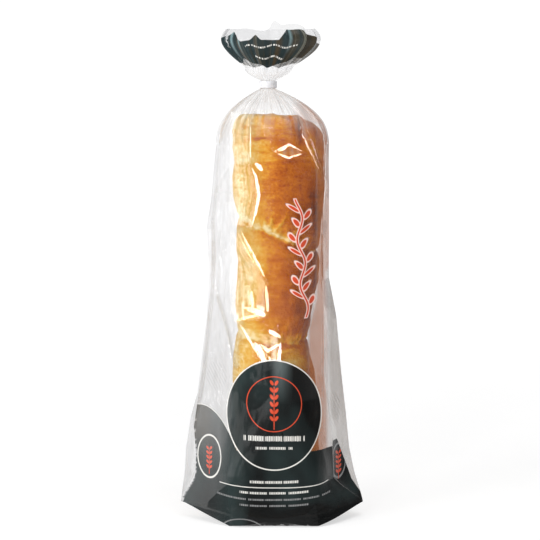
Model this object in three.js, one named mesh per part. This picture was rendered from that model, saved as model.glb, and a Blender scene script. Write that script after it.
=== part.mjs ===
// A long plaited brioche packed upright in a clear side-gusset bag, gathered and tied above the loaf.
// Millimetres, +Z up, the pack's front faces -Y, and the origin is the middle of its footprint on the table.
//
// The bag is one piece of film, so it is one solid: the boat-shaped folded bottom with its two ears, the
// tall body with four factory folds and a gusset down each side, the pleated shoulders, the tied neck and
// the open frill above it. The tie is a flat band round the neck.
import * as THREE from "three";
import { mergeVertices } from "three/addons/utils/BufferGeometryUtils.js";

// Heights of the main levels
const SHOULDER_Z = 375;
const NECK_BOTTOM_Z = 431;
const NECK_TOP_Z = 439;
const RIM_Z = 490;

// The film's depth in front of and behind the middle, where it lies over the loaf
const BODY_DEPTH = 51;
const SHOULDER_DEPTH = 48;
const DEPTH_FADES_FROM_Z = 300;

// Sideways places of the four folds, as [height, x]. The back folds are the outline seen from the front.
const EAR_REACH = 92.3;
const FRONT_LEFT_FOLD = [[0, -EAR_REACH], [45, -77], [65, -76], [95, -78], [150, -70], [240, -60], [300, -60],
  [375, -52]];
const FRONT_RIGHT_FOLD = [[0, EAR_REACH], [24, 76], [42, 62], [85, 60], [110, 56], [150, 51], [300, 50],
  [375, 53]];
const BACK_LEFT_FOLD = [[0, -EAR_REACH], [45, -89], [65, -88], [98, -83], [122, -76], [200, -66.5],
  [250, -64], [290, -67], [320, -62], [375, -57]];
const BACK_RIGHT_FOLD = [[0, EAR_REACH], [31, 86.5], [67, 79], [98, 76], [150, 70], [200, 65.5], [240, 58.2],
  [375, 57.8]];

// How far the folds lie before and behind the middle, and how deep the gusset is tucked between them
const FOLD_DEPTH = [[0, 1.5], [20, 7], [45, 16], [95, 22], [240, 24], [375, 27]];
const GUSSET_TUCK = [[0, 0.4], [45, 3.5], [120, 5.5], [300, 5], [375, 3]];

// The flatter middle of the front and back panels: the x of its middle, half its width, and the share of the
// full depth that is left at its edges. The back lies on the flat side of the loaf, the front on the round one.
const PANEL_MIDDLE = [[0, 5], [60, 1], [375, 2]];
const FRONT_PANEL = { half: [[0, 44], [60, 40], [125, 27], [375, 25]], crown: [[0, 0.965], [60, 0.95], [125, 0.93]] };
const BACK_PANEL = { half: [[0, 44], [100, 39], [375, 38]], crown: [[0, 0.965]] };

// The bottom's edge: it rises to the ears at both ends, and a little where the film is slack between them
const BOTTOM = { middle: 2, halfFoot: 44, lift: 0.9, earLift: 14.8 };
const BOTTOM_SLACK = { front: 4.5, back: 2, reach: 23 };
const FOOT_DEPTH = 47;
const BOTTOM_FADES_AT_Z = 48;

// The tied neck, and the frill above it
const NECK = { x: -4, radius: 7.6 };
const GATHER_POWER = 2.4;
const GATHER_START_DEG = 202;
const FRILL = { x: -1.5, y: -1.5, width: 46.5, depth: 41, widest: 0.8, power: 1.25 };
const FRILL_BULGE = { rise: 6, height: 14 };
const FRILL_WALL = 2.2;
const FRILL_FLOOR_Z = 447;
const FRONT_RIM_DROP = 3;
const RIM_PEAKS = [
  { at: 0.672, rise: 9, reach: 0.022 },
  { at: 0.615, rise: 6, reach: 0.045 },
  { at: 0.565, rise: 3.5, reach: 0.04 },
  { at: 0.79, rise: 2, reach: 0.05 },
];

// Pleats run round the bag in uneven steps
const SHOULDER_PLEATS = [{ count: 17, depth: 2.1 }];
const FRILL_PLEATS = [{ count: 7, depth: 3.2 }, { count: 13, depth: 1.8 }];
const PLEAT_SWAY = 1.1;
const PLEAT_ROUNDNESS = 0.8;

// Ridges where the film is pulled tight, each from one [x, z] to another on the front (-1) or the back (1)
const CREASES = [
  { face: -1, from: [-28, 291], to: [-4, 243], rise: 2.2, reach: 6 },
  { face: -1, from: [-4, 243], to: [-6, 208], rise: 1.8, reach: 5 },
  { face: -1, from: [-19, 352], to: [-16, 298], rise: 1.8, reach: 6 },
  { face: -1, from: [-36, 206], to: [-9, 160], rise: 2.2, reach: 6 },
  { face: -1, from: [26, 400], to: [46, 345], rise: 2, reach: 7 },
  { face: -1, from: [46, 250], to: [44, 120], rise: 1.6, reach: 6 },
  { face: -1, from: [-52, 250], to: [-38, 145], rise: 1.8, reach: 6 },
  { face: 1, from: [30, 350], to: [2, 262], rise: 2.2, reach: 7 },
  { face: 1, from: [-34, 330], to: [-10, 232], rise: 2, reach: 7 },
  { face: 1, from: [22, 214], to: [40, 104], rise: 2.2, reach: 7 },
  { face: 1, from: [-16, 196], to: [-44, 92], rise: 2, reach: 7 },
];

// Steps round the bag (front panel, gusset, back panel, gusset) and up it
const PANEL_STEPS = 34;
const GUSSET_STEPS = 10;
const ROUND = 2 * (PANEL_STEPS + GUSSET_STEPS);
const BODY_ROW = 11;
const GATHERED_ROW = 7;
const FRILL_INSIDE_ROW = 11;

// The band that ties the neck
const BAND = { gap: 0.3, thickness: 1, edge: 0.3, margin: 0.6, steps: 48 };

const lerp = THREE.MathUtils.lerp;
const smooth = THREE.MathUtils.smoothstep;
const clamp = THREE.MathUtils.clamp;

// The value at height z of a profile given as [height, value] pairs
function along(profile, z) {
  const last = profile.length - 1;
  const next = profile.findIndex(([height]) => height >= z);
  if (next === 0) return profile[0][1];
  if (next < 0) return profile[last][1];
  const [z0, v0] = profile[next - 1];
  const [z1, v1] = profile[next];
  return lerp(v0, v1, (z - z0) / (z1 - z0));
}

// Points along a smooth line through the corners given, leaving out its last one
function stretch(corners, steps) {
  const line = new THREE.CatmullRomCurve3(corners.map(([x, y]) => new THREE.Vector3(x, y, 0)));
  return Array.from({ length: steps }, (_, i) => line.getPoint(i / steps));
}

// The outline of the body at one height: panels and gussets meet in four sharp folds
function bodySection(z) {
  const depth = lerp(BODY_DEPTH, SHOULDER_DEPTH, smooth(z, DEPTH_FADES_FROM_Z, SHOULDER_Z));
  const middle = along(PANEL_MIDDLE, z);
  const fold = along(FOLD_DEPTH, z);
  const tuck = along(GUSSET_TUCK, z);
  const frontLeft = [along(FRONT_LEFT_FOLD, z), -fold];
  const frontRight = [along(FRONT_RIGHT_FOLD, z), -fold];
  const backRight = [along(BACK_RIGHT_FOLD, z), fold];
  const backLeft = [along(BACK_LEFT_FOLD, z), fold];
  const rightTuck = [(frontRight[0] + backRight[0]) / 2 - tuck, 0];
  const leftTuck = [(frontLeft[0] + backLeft[0]) / 2 + tuck, 0];
  const panel = (shape, side) => [-1, 0, 1].map((k) => {
    const inward = k ? along(shape.crown, z) : 1;
    return [middle + side * k * along(shape.half, z), -side * depth * inward];
  });
  return [
    ...stretch([frontLeft, ...panel(FRONT_PANEL, 1), frontRight], PANEL_STEPS),
    ...stretch([frontRight, rightTuck, backRight], GUSSET_STEPS),
    ...stretch([backRight, ...panel(BACK_PANEL, -1), backLeft], PANEL_STEPS),
    ...stretch([backLeft, leftTuck, frontLeft], GUSSET_STEPS),
  ];
}

// The direction from the neck in which a point of a row is gathered, starting at the front left fold
function gatheredDirection(i) {
  const angle = THREE.MathUtils.degToRad(GATHER_START_DEG) + (i / ROUND) * 2 * Math.PI;
  return [Math.cos(angle), Math.sin(angle)];
}

// How far soft uneven pleats of some kinds stand out at a point of a row, less than 0 in their valleys
function pleated(i, kinds) {
  const angle = (i / ROUND) * 2 * Math.PI;
  const sway = PLEAT_SWAY * (Math.sin(3 * angle + 0.7) + Math.sin(5 * angle + 2.1));
  return kinds.reduce((sum, { count, depth }) => {
    const phase = count * angle + sway;
    return sum + depth * (1 - 2 * Math.abs(Math.sin(phase / 2)) ** PLEAT_ROUNDNESS);
  }, 0);
}

// How far the creases lift the film at a point of the front or back panel
function creaseRise(point, z) {
  const here = new THREE.Vector3(point.x, 0, z);
  return CREASES.reduce((sum, { face, from, to, rise, reach }) => {
    if (Math.sign(point.y) !== face) return sum;
    const line = new THREE.Line3(new THREE.Vector3(from[0], 0, from[1]), new THREE.Vector3(to[0], 0, to[1]));
    const away = line.closestPointToPoint(here, true, new THREE.Vector3()).distanceTo(here);
    return sum + rise * Math.max(0, 1 - away / reach);
  }, 0);
}

// The bottom's edge rises to the two ears, and is slack in the middle of its front and back
function bottomLift(point) {
  const beside = Math.abs(point.x - BOTTOM.middle);
  const toEar = (beside - BOTTOM.halfFoot) / (EAR_REACH - BOTTOM.middle - BOTTOM.halfFoot);
  const slack = point.y < 0 ? BOTTOM_SLACK.front : BOTTOM_SLACK.back;
  const sag = slack * Math.exp(-((beside / BOTTOM_SLACK.reach) ** 2));
  return lerp(BOTTOM.lift, BOTTOM.earLift, clamp(toEar, 0, 1)) + sag;
}

// A row of the body: its creases stand out, and the lowest rows follow the bottom's edge
function bodyRow(z) {
  const fade = 1 - smooth(z, 0, BOTTOM_FADES_AT_Z);
  return bodySection(z).map((p) => {
    const y = p.y + Math.sign(p.y) * creaseRise(p, z);
    return new THREE.Vector3(p.x, y, z + bottomLift(p) * fade);
  });
}

// A row of the shoulders, where the film is drawn in to the neck in pleats
function shoulderRow(z) {
  const t = (z - SHOULDER_Z) / (NECK_BOTTOM_Z - SHOULDER_Z);
  const open = 1 - t ** GATHER_POWER;
  const slack = Math.sin(Math.PI * t) ** 0.7;
  return bodySection(SHOULDER_Z).map((p, i) => {
    const [dx, dy] = gatheredDirection(i);
    const out = slack * pleated(i, SHOULDER_PLEATS);
    const bodyY = p.y + Math.sign(p.y) * creaseRise(p, z);
    const x = lerp(NECK.x + dx * NECK.radius, p.x, open) + dx * out;
    const y = lerp(dy * NECK.radius, bodyY, open) + dy * out;
    return new THREE.Vector3(x, y, z);
  });
}

// How far the mouth's edge stands above its level: lower in front, with a few peaks behind
function rimRise(i) {
  const peaks = RIM_PEAKS.map(({ at, rise, reach }) => rise * Math.exp(-(((i / ROUND - at) / reach) ** 2)));
  const front = Math.max(0, -gatheredDirection(i)[1]);
  return peaks.reduce((sum, peak) => sum + peak, 0) - FRONT_RIM_DROP * front;
}

// A row of the neck or the frill, drawn in by the film's wall for its inside
function frillRow(z, wall) {
  const t = Math.max(0, (z - NECK_TOP_Z) / (RIM_Z - NECK_TOP_Z));
  const flare = Math.sin((Math.PI / 2) * (t / FRILL.widest) ** FRILL.power);
  const overBand = clamp((z - NECK_TOP_Z) / FRILL_BULGE.height, 0, 1);
  const drawnIn = FRILL_BULGE.rise * Math.sin(Math.PI * overBand) - wall;
  const halfWidth = lerp(NECK.radius, FRILL.width, flare) + drawnIn;
  const halfDepth = lerp(NECK.radius, FRILL.depth, flare) + drawnIn;
  return Array.from({ length: ROUND }, (_, i) => {
    const [dx, dy] = gatheredDirection(i);
    const out = flare * pleated(i, FRILL_PLEATS);
    const x = lerp(NECK.x, FRILL.x, flare) + dx * (halfWidth + out);
    const y = lerp(0, FRILL.y, flare) + dy * (halfDepth + out);
    return new THREE.Vector3(x, y, z + rimRise(i) * smooth(t, 0.55, 1));
  });
}

// The flat foot that the loaf presses on the table, inside the bottom's edge
function footRow() {
  return bodySection(0).map((p) => {
    const x = BOTTOM.middle + clamp(p.x - BOTTOM.middle, -BOTTOM.halfFoot, BOTTOM.halfFoot);
    return new THREE.Vector3(x, clamp(1.6 * p.y, -FOOT_DEPTH, FOOT_DEPTH), 0);
  });
}

// Heights of the rows between two levels, upwards or downwards, leaving out the second level
function levels(from, to, step) {
  const count = Math.ceil(Math.abs(to - from) / step);
  return Array.from({ length: count }, (_, i) => from + ((to - from) * i) / count);
}

// A closed skin over rows of equal length, with a point at each end
function loft(bottomPoint, rows, topPoint) {
  const count = rows[0].length;
  const top = 1 + rows.length * count;
  const at = (row, i) => 1 + row * count + (i % count);
  const index = [];
  for (let i = 0; i < count; i++) {
    index.push(0, at(0, i + 1), at(0, i));
    index.push(top, at(rows.length - 1, i), at(rows.length - 1, i + 1));
    for (let row = 0; row + 1 < rows.length; row++) {
      index.push(at(row, i), at(row, i + 1), at(row + 1, i + 1));
      index.push(at(row, i), at(row + 1, i + 1), at(row + 1, i));
    }
  }
  const skin = new THREE.BufferGeometry().setFromPoints([bottomPoint, ...rows.flat(), topPoint]);
  skin.setIndex(index);
  return mergeVertices(skin);
}

function makeBag() {
  const rows = [
    footRow(),
    ...levels(0, SHOULDER_Z, BODY_ROW).map(bodyRow),
    ...levels(SHOULDER_Z, NECK_BOTTOM_Z, GATHERED_ROW).map(shoulderRow),
    frillRow(NECK_BOTTOM_Z, 0),
    ...levels(NECK_TOP_Z, RIM_Z, GATHERED_ROW).map((z) => frillRow(z, 0)),
    frillRow(RIM_Z, 0),
    ...levels(RIM_Z, FRILL_FLOOR_Z, FRILL_INSIDE_ROW).map((z) => frillRow(z, FRILL_WALL)),
  ];
  const foot = new THREE.Vector3(BOTTOM.middle, 0, 0);
  const floor = new THREE.Vector3(NECK.x, 0, FRILL_FLOOR_Z);
  const skin = loft(foot, rows, floor);
  skin.computeVertexNormals();
  const film = new THREE.MeshStandardMaterial({ color: 0xe9e7e2, roughness: 0.12, metalness: 0 });
  const bag = new THREE.Mesh(skin, film);
  bag.name = "bag";
  return bag;
}

// A ring turned from its section, with its outer edges eased
function makeNeckBand() {
  const inner = NECK.radius + BAND.gap;
  const outer = inner + BAND.thickness;
  const bottom = NECK_BOTTOM_Z + BAND.margin;
  const top = NECK_TOP_Z - BAND.margin;
  const section = [
    [inner, bottom], [outer - BAND.edge, bottom], [outer, bottom + BAND.edge],
    [outer, top - BAND.edge], [outer - BAND.edge, top], [inner, top], [inner, bottom],
  ].map(([radius, z]) => new THREE.Vector2(radius, z));
  const plastic = new THREE.MeshStandardMaterial({ color: 0xf4f4f6, roughness: 0.35, metalness: 0 });
  const band = new THREE.Mesh(new THREE.LatheGeometry(section, BAND.steps), plastic);
  band.name = "neck_band";
  band.rotation.x = Math.PI / 2;
  band.position.x = NECK.x;
  return band;
}

const pack = new THREE.Group();
pack.add(makeBag(), makeNeckBand());

export default pack;
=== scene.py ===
# %% [markdown]
# Brioche in a clear printed bag
#
# The pack is a long plaited brioche, upright in a side-gusset bag of thin film. The film is gathered above
# the loaf by a pale band, and stands open over the band as a frill. The CAD model has the pack as a closed
# solid and the band as a ring. This lesson swaps the closed solid for what it stands for: a sheet of film
# with its creases and print, and the baked loaf that shows through it.

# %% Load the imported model
import math
from functools import reduce

import bpy
import numpy as np
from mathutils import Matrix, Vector, noise
from mathutils.bvhtree import BVHTree
from mathutils.geometry import delaunay_2d_cdt


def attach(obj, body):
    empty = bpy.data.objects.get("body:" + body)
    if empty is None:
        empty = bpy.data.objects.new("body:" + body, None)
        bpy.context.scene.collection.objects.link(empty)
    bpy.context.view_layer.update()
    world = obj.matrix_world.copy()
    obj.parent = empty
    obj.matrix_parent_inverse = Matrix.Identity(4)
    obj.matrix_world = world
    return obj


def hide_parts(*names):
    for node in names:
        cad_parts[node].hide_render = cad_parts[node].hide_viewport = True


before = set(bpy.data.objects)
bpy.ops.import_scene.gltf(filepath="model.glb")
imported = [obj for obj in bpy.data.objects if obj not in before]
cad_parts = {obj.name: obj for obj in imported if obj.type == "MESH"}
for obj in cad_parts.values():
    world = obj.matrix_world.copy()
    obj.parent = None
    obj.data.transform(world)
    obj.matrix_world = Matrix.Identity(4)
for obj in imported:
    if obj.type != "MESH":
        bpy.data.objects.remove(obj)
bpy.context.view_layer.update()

MM = 0.001


def table(columns, *rows):
    """The rows of a table as dictionaries, each with the names of its columns."""
    return [dict(zip(columns.split(), row)) for row in rows]

# %% [markdown]
# The camera comes first, because every later choice is judged through it. The photo looks at the pack from
# the front and a little above its middle, through a long lens. The lens is worked out from how many pixels
# a metre fills at one metre away, so that the frame is the photo's own.

# %% Camera
EYE_MM = (-2, -1700, 390)
AIM_MM = (-2, 0, 250)
FOCAL_PIXELS = 1700
FRAME_PIXELS = 540
SENSOR_MM = 36

bpy.ops.object.camera_add(location=Vector(EYE_MM) * MM)
camera = bpy.context.object
camera.name = "photo_camera"
camera.data.sensor_width = SENSOR_MM
camera.data.lens = SENSOR_MM * FOCAL_PIXELS / FRAME_PIXELS
line_of_sight = Vector(AIM_MM) - Vector(EYE_MM)
camera.rotation_euler = line_of_sight.to_track_quat("-Z", "Y").to_euler()
bpy.context.scene.camera = camera
looking_down = math.degrees(line_of_sight.angle((0, 1, 0)))
print("lens", round(camera.data.lens, 1), "mm, looking down", round(looking_down, 1))

# %% [markdown]
# The loaf is a plait that was baked in a long tin, so it is a log with straight sides and blunt ends, and its
# strands show as swellings between deep creases. One log is modelled first: a cylinder with bevelled ends,
# stretched to the loaf's section. It is remeshed with voxels, which gives even faces all over that can be
# moved freely.

# %% The log
LOG = {"middle": (5, -4, 205), "radii": (43, 43), "height": 400, "bevel": 11}
LOAF_VOXEL = 1.55


def clear_selection():
    """An operator works on all that is selected, so each piece starts with nothing selected."""
    bpy.ops.object.select_all(action="DESELECT")


def apply_modifier(piece, kind, **settings):
    """Adds a modifier with its settings and applies it at once."""
    modifier = piece.modifiers.new(kind.title(), kind)
    for name, value in settings.items():
        setattr(modifier, name, value)
    bpy.context.view_layer.objects.active = piece
    bpy.ops.object.modifier_apply(modifier=modifier.name)


def add_log():
    bpy.ops.mesh.primitive_cylinder_add(vertices=64, radius=LOG["radii"][0] * MM, depth=LOG["height"] * MM,
                                        location=Vector(LOG["middle"]) * MM)
    log = bpy.context.object
    log.scale.y = LOG["radii"][1] / LOG["radii"][0]
    bpy.ops.object.transform_apply(location=True, rotation=True, scale=True)
    bpy.ops.object.mode_set(mode="EDIT")
    bpy.ops.mesh.select_all(action="DESELECT")
    bpy.ops.mesh.select_mode(type="FACE")
    bpy.ops.object.mode_set(mode="OBJECT")
    for face in log.data.polygons:
        face.select = abs(face.normal.z) > 0.9
    bpy.ops.object.mode_set(mode="EDIT")
    bpy.ops.mesh.bevel(offset=LOG["bevel"] * MM, segments=6, profile=0.5)
    bpy.ops.object.mode_set(mode="OBJECT")
    return log


clear_selection()
loaf = add_log()
loaf.name = "loaf"
loaf.data.name = "loaf"
apply_modifier(loaf, "REMESH", mode="VOXEL", voxel_size=LOAF_VOXEL * MM, use_smooth_shade=True)
apply_modifier(loaf, "SMOOTH", factor=0.5, iterations=6)
print("loaf skin:", len(loaf.data.polygons), "faces")

# %% [markdown]
# The creases are curves that run all the way round the log. Each is given by its height at the left edge, the
# middle and the right edge of the front. The distance to the nearest one shapes the dough: it swells between
# two creases and drops sharply into them. One more crease splits the crown from the top. Smaller folds,
# stretched strands at the creases and wrinkles across the crown are each a short stroke with its own height.

# %% Creases and folds of the dough
LOAF_CREASES = table(
    "left middle right depth",
    (352, 361, 360, 0.8),
    (297, 285, 263, 2.9),
    (183, 181, 176, 3.0),
    (90, 84, 96, 3.4),
)
BEHIND_RISE = 14
CREASE_WANDER = [(22, 2.2, 4), (7, 0.8, 5)]
CREASE_DEPTH_LUMPS = [(18, 0.35, 6)]
STRANDS = {"creases": (1, 2, 3), "count": 26, "sideways": (-0.95, 0.95), "length": (6, 18),
           "lean": (-0.9, 0.9), "reach": (1.0, 1.9), "rise": (0.5, 1.1), "gold": (0.04, 0.16),
           "behind": 0.1, "seed": 5}
WRINKLES = {"count": 18, "area": [(-36, 12), (366, 399)], "length": (7, 20), "lean": (-0.35, 0.15),
            "depth": (0.5, 1.2), "reach": (1.1, 2.0), "dark": (0.05, 0.14), "seed": 8}
CROWN_SPLIT = {"x": 28, "lean": 0.09, "wander": 0.6, "from": 366, "full": 382, "back_y": 10, "depth": 3.2,
               "width": 5, "shade": 0.2, "shade_width": 2.6}
STROKES = table(
    "from to rise reach gold",
    ((-28, 293), (-6, 296), 1.3, 2.6, 0.22),
    ((-8, 294), (4, 287), 1.4, 2.4, 0.22),
    ((0, 292), (9, 300), 1.1, 1.6, 0.2),
    ((4, 287), (16, 281), 1.4, 2.2, 0.22),
    ((13, 282), (24, 292), 1.3, 1.8, 0.22),
    ((16, 281), (27, 271), 1.2, 2.2, 0.2),
    ((10, 172), (32, 175), 1.2, 2.0, 0.16),
    ((9, 165), (24, 160), 1.2, 2.4, 0.12),
    ((-14, 383), (-2, 376), 1.0, 2.0, 0.1),
    ((-16, 374), (-3, 370), 1.0, 2.0, 0.1),
    ((-14, 391), (0, 386), 0.9, 2.2, 0.08),
    ((2, 392), (16, 389), 0.8, 2.4, 0.06),
    ((-35, 390), (-24, 380), 1.2, 2.6, 0.06),
    ((-36, 372), (-22, 366), 1.2, 2.6, 0.06),
    ((36, 372), (44, 352), 1.2, 3.0, -0.05),
)


def strands():
    """Thin stretched strands of dough that fan out upwards from the creases."""
    chance = np.random.default_rng(STRANDS["seed"])
    made = []
    for number in STRANDS["creases"]:
        crease = LOAF_CREASES[number]
        for _ in range(STRANDS["count"]):
            sideways = chance.uniform(*STRANDS["sideways"])
            length, lean = chance.uniform(*STRANDS["length"]), chance.uniform(*STRANDS["lean"])
            foot = crease_height(crease, sideways, STRANDS["behind"])
            start = (LOG["middle"][0] + sideways * LOG["radii"][0], foot)
            made.append({
                "from": start,
                "to": (start[0] + length * lean, start[1] + length),
                "rise": chance.uniform(*STRANDS["rise"]),
                "reach": chance.uniform(*STRANDS["reach"]),
                "gold": chance.uniform(*STRANDS["gold"]),
            })
    return made


def crown_wrinkles():
    """Shallow dark furrows that run across the crown."""
    chance = np.random.default_rng(WRINKLES["seed"])
    made = []
    for _ in range(WRINKLES["count"]):
        start = chance.uniform(*zip(*WRINKLES["area"]))
        run = chance.uniform(*WRINKLES["length"])
        made.append({
            "from": start,
            "to": (start[0] + run, start[1] + run * chance.uniform(*WRINKLES["lean"])),
            "rise": -chance.uniform(*WRINKLES["depth"]),
            "reach": chance.uniform(*WRINKLES["reach"]),
            "gold": -chance.uniform(*WRINKLES["dark"]),
        })
    return made


def points_of(piece):
    """The piece's points in millimetres, one row each."""
    flat = np.empty(len(piece.data.vertices) * 3)
    piece.data.vertices.foreach_get("co", flat)
    return flat.reshape(-1, 3) / MM


def place_points(piece, points):
    piece.data.vertices.foreach_set("co", (points * MM).ravel())
    piece.data.update()


def normals_of(piece):
    flat = np.empty(len(piece.data.vertices) * 3)
    piece.data.vertices.foreach_get("normal", flat)
    return flat.reshape(-1, 3)


def keep_attribute(piece, name, values):
    attribute = piece.data.attributes.new(name, "FLOAT", "POINT")
    attribute.data.foreach_set("value", np.asarray(values, float))


def noise_at(points, size, seed):
    """Smooth noise from -1 to 1 whose lumps are about size millimetres."""
    shift = Vector((seed * 17.3, seed * 5.1, seed * 9.7))
    return np.array([noise.noise(Vector(p) / size + shift) for p in points])


def lumps(points, kinds):
    """Smooth noise of several sizes added up, each as (size, rise, seed)."""
    return sum(rise * noise_at(points, size, seed) for size, rise, seed in kinds)


def smoothstep(value, low, high):
    share = np.clip((value - low) / (high - low), 0, 1)
    return share * share * (3 - 2 * share)


def crease_height(crease, sideways, behind):
    """The crease's height where the loaf is sideways from -1 at the left to 1, and behind from 0 to 1."""
    slope = (crease["right"] - crease["left"]) / 2
    bow = (crease["right"] + crease["left"]) / 2 - crease["middle"]
    return crease["middle"] + slope * sideways + bow * sideways**2 + BEHIND_RISE * behind


def off_line(flat, start, end):
    """How far along a line each flat point lies, from 0 to 1, and how far off it in millimetres."""
    line = np.subtract(end, start)
    place = np.clip(((flat - start) @ line) / (line @ line), 0, 1)
    return place, np.linalg.norm(flat - start - place[..., None] * line, axis=-1)


def stroke_share(points, stroke):
    """1 along a short stroke on the front of the loaf, falling to 0 at its reach."""
    place, off = off_line(points[:, [0, 2]], stroke["from"], stroke["to"])
    return np.exp(-(off / (stroke["reach"] * (1.3 - 0.6 * place))) ** 2) * (points[:, 1] < 0)


log_points = points_of(loaf)
log_normals = normals_of(loaf)
log_x, log_y, log_z = log_points.T
sideways = np.clip((log_x - LOG["middle"][0]) / LOG["radii"][0], -1, 1)
behind = np.clip(0.5 + (log_y - LOG["middle"][1]) / LOG["radii"][1] / 2, 0, 1)
wander = lumps(log_points, CREASE_WANDER)
above = np.array([log_z + wander - crease_height(crease, sideways, behind) for crease in LOAF_CREASES])
nearest = np.abs(above).argmin(axis=0)
above_nearest = above[nearest, np.arange(len(nearest))]
from_crease = np.abs(above_nearest)
crease_depth = np.array([crease["depth"] for crease in LOAF_CREASES])[nearest]
crease_depth = crease_depth * (1 + lumps(log_points, CREASE_DEPTH_LUMPS))
split_x = CROWN_SPLIT["x"] + CROWN_SPLIT["lean"] * (log_z - 400) + CROWN_SPLIT["wander"] * wander
from_split = np.abs(log_x - split_x)
split_share = smoothstep(log_z, CROWN_SPLIT["from"], CROWN_SPLIT["full"]) * (log_y < CROWN_SPLIT["back_y"])
folds = STROKES + strands() + crown_wrinkles()
fold_shares = [stroke_share(log_points, fold) for fold in folds]
print("creases:", len(LOAF_CREASES), "folds:", len(folds))

# %% [markdown]
# The log is then fitted to the loaf's own edges, which lean and waist a little, and its back is pressed flat,
# as the base of a loaf is. The browning comes from the same distances. The oven browns the round front, and
# leaves golden the left side, which lay against the tin, the crown, and the stretched dough above each
# crease. Painted shade darkens the crust just under each crease and along the split in the crown, and adds
# to the browning towards the right side. Browning and painted shade are kept together as one attribute on
# the mesh for the material to read.

# %% Edges, flat base and baked colour
LEFT_EDGE = [[0, -36], [60, -39], [150, -39], [180, -37.5], [215, -36], [265, -34.5], [300, -37], [340, -39],
             [405, -38.5]]
RIGHT_EDGE = [[0, 42], [60, 47], [100, 48], [130, 44.5], [150, 42], [166, 38], [190, 38], [215, 41],
              [240, 46.5], [290, 49], [340, 51.5], [375, 52], [405, 50]]
CROWN_SLOPE = {"from_x": 26, "drop": 0.5, "low": 340, "high": 400}
BASE_Y = 36
BASE_PRESS = 0.35
GROOVE = {"width": 4.2, "power": 1.4}
SAG = {"share": 0.7, "reach": 34}
LUMPS = [(34, 1.5, 1), (13, 0.9, 2), (5.5, 0.45, 3)]
# Browner towards the right: partly the oven's browning, partly painted shade on the side away from the light.
BROWN_ACROSS = [[-40, 0.16], [-30, 0.23], [-20, 0.36], [-8, 0.54], [8, 0.66], [30, 0.73], [42, 0.84],
                [52, 0.9]]
BROWN_BEHIND = 0.34
BROWN_LUMPS = [(26, 0.09, 7), (9, 0.06, 8)]
GOLD_ABOVE = {"reach": 24, "share": 0.30, "full_depth": 2.4, "near": 16}
GOLD_CROWN = {"low": 390, "high": 400, "share": 0.1}
SHADE_UNDER = {"share": 0.09, "below": 2.5, "reach": 2.0}
CROWN_RIM = {"from": 382, "to": 396, "size": 11, "seed": 12, "rise": 1.7, "dark": 0.16}
PATCHES = table(
    "at size slant gold",
    ((2, 388), (34, 20), 0, 0.11),
    ((-12, 366), (14, 10), 0.3, 0.12),
    ((40, 372), (9, 22), 0, 0.26),
    ((46, 350), (5, 16), 0, 0.3),
    ((-14, 262), (9, 24), 0, 0.20),
    ((20, 163), (16, 9), -0.1, 0.28),
    ((-22, 150), (20, 34), 0, 0.06),
    ((12, 330), (20, 26), 0, -0.03),
    ((34, 310), (14, 44), 0, -0.09),
    ((14, 232), (18, 30), 0, -0.10),
    ((28, 196), (16, 14), 0, -0.12),
    ((26, 158), (16, 16), 0, 0.16),
    ((-22, 238), (13, 34), 0, 0.16),
    ((-30, 325), (10, 30), 0, 0.12),
)


def along(profile, z):
    """A profile's value at a height, or at each of many."""
    return np.interp(z, *zip(*profile))


def patch_share(points, patch):
    """1 in the middle of a patch on the front of the loaf, fading to 0 around it."""
    x, z = points[:, 0] - patch["at"][0], points[:, 2] - patch["at"][1]
    off = (x / patch["size"][0]) ** 2 + ((z - patch["slant"] * x) / patch["size"][1]) ** 2
    return np.exp(-off) * smoothstep(-points[:, 1], 0, 20)


sag = SAG["share"] * crease_depth * np.clip(1 - from_crease / SAG["reach"], 0, 1) ** 2
groove = crease_depth * np.exp(-(from_crease / GROOVE["width"]) ** GROOVE["power"])
split = CROWN_SPLIT["depth"] * np.exp(-(from_split / CROWN_SPLIT["width"]) ** GROOVE["power"]) * split_share
relief = -sag - groove - split + lumps(log_points, LUMPS)
relief += sum(fold["rise"] * share for fold, share in zip(folds, fold_shares))
at_rim = smoothstep(log_z, CROWN_RIM["from"], CROWN_RIM["to"])
rim_lumps = noise_at(log_points, CROWN_RIM["size"], CROWN_RIM["seed"]) * at_rim
crust = log_points + log_normals * (relief + CROWN_RIM["rise"] * rim_lumps)[:, None]

share_across = (crust[:, 0] - LOG["middle"][0]) / LOG["radii"][0] / 2 + 0.5
left_edge, right_edge = along(LEFT_EDGE, crust[:, 2]), along(RIGHT_EDGE, crust[:, 2])
crust[:, 0] = left_edge + (right_edge - left_edge) * share_across
slope = np.clip(crust[:, 0] - CROWN_SLOPE["from_x"], 0, None) * CROWN_SLOPE["drop"]
crust[:, 2] -= slope * smoothstep(crust[:, 2], CROWN_SLOPE["low"], CROWN_SLOPE["high"])
crust[:, 1] = np.where(crust[:, 1] > BASE_Y, BASE_Y + (crust[:, 1] - BASE_Y) * BASE_PRESS, crust[:, 1])
place_points(loaf, crust)
outward = normals_of(loaf)

to_front = smoothstep(-outward[:, 1], -0.6, 0.5)
bake = along(BROWN_ACROSS, crust[:, 0]) * to_front + BROWN_BEHIND * (1 - to_front)
stretched_dough = np.exp(-np.clip(above_nearest, 0, None) / GOLD_ABOVE["reach"]) * (above_nearest > 0)
gold_depth = np.clip(crease_depth / GOLD_ABOVE["full_depth"], 0, 1)
gold_depth = gold_depth * (0.75 + 0.5 * noise_at(crust, 16, 9))
bake -= GOLD_ABOVE["share"] * stretched_dough * np.exp(-(from_crease / GOLD_ABOVE["near"]) ** 2) * gold_depth
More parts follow.
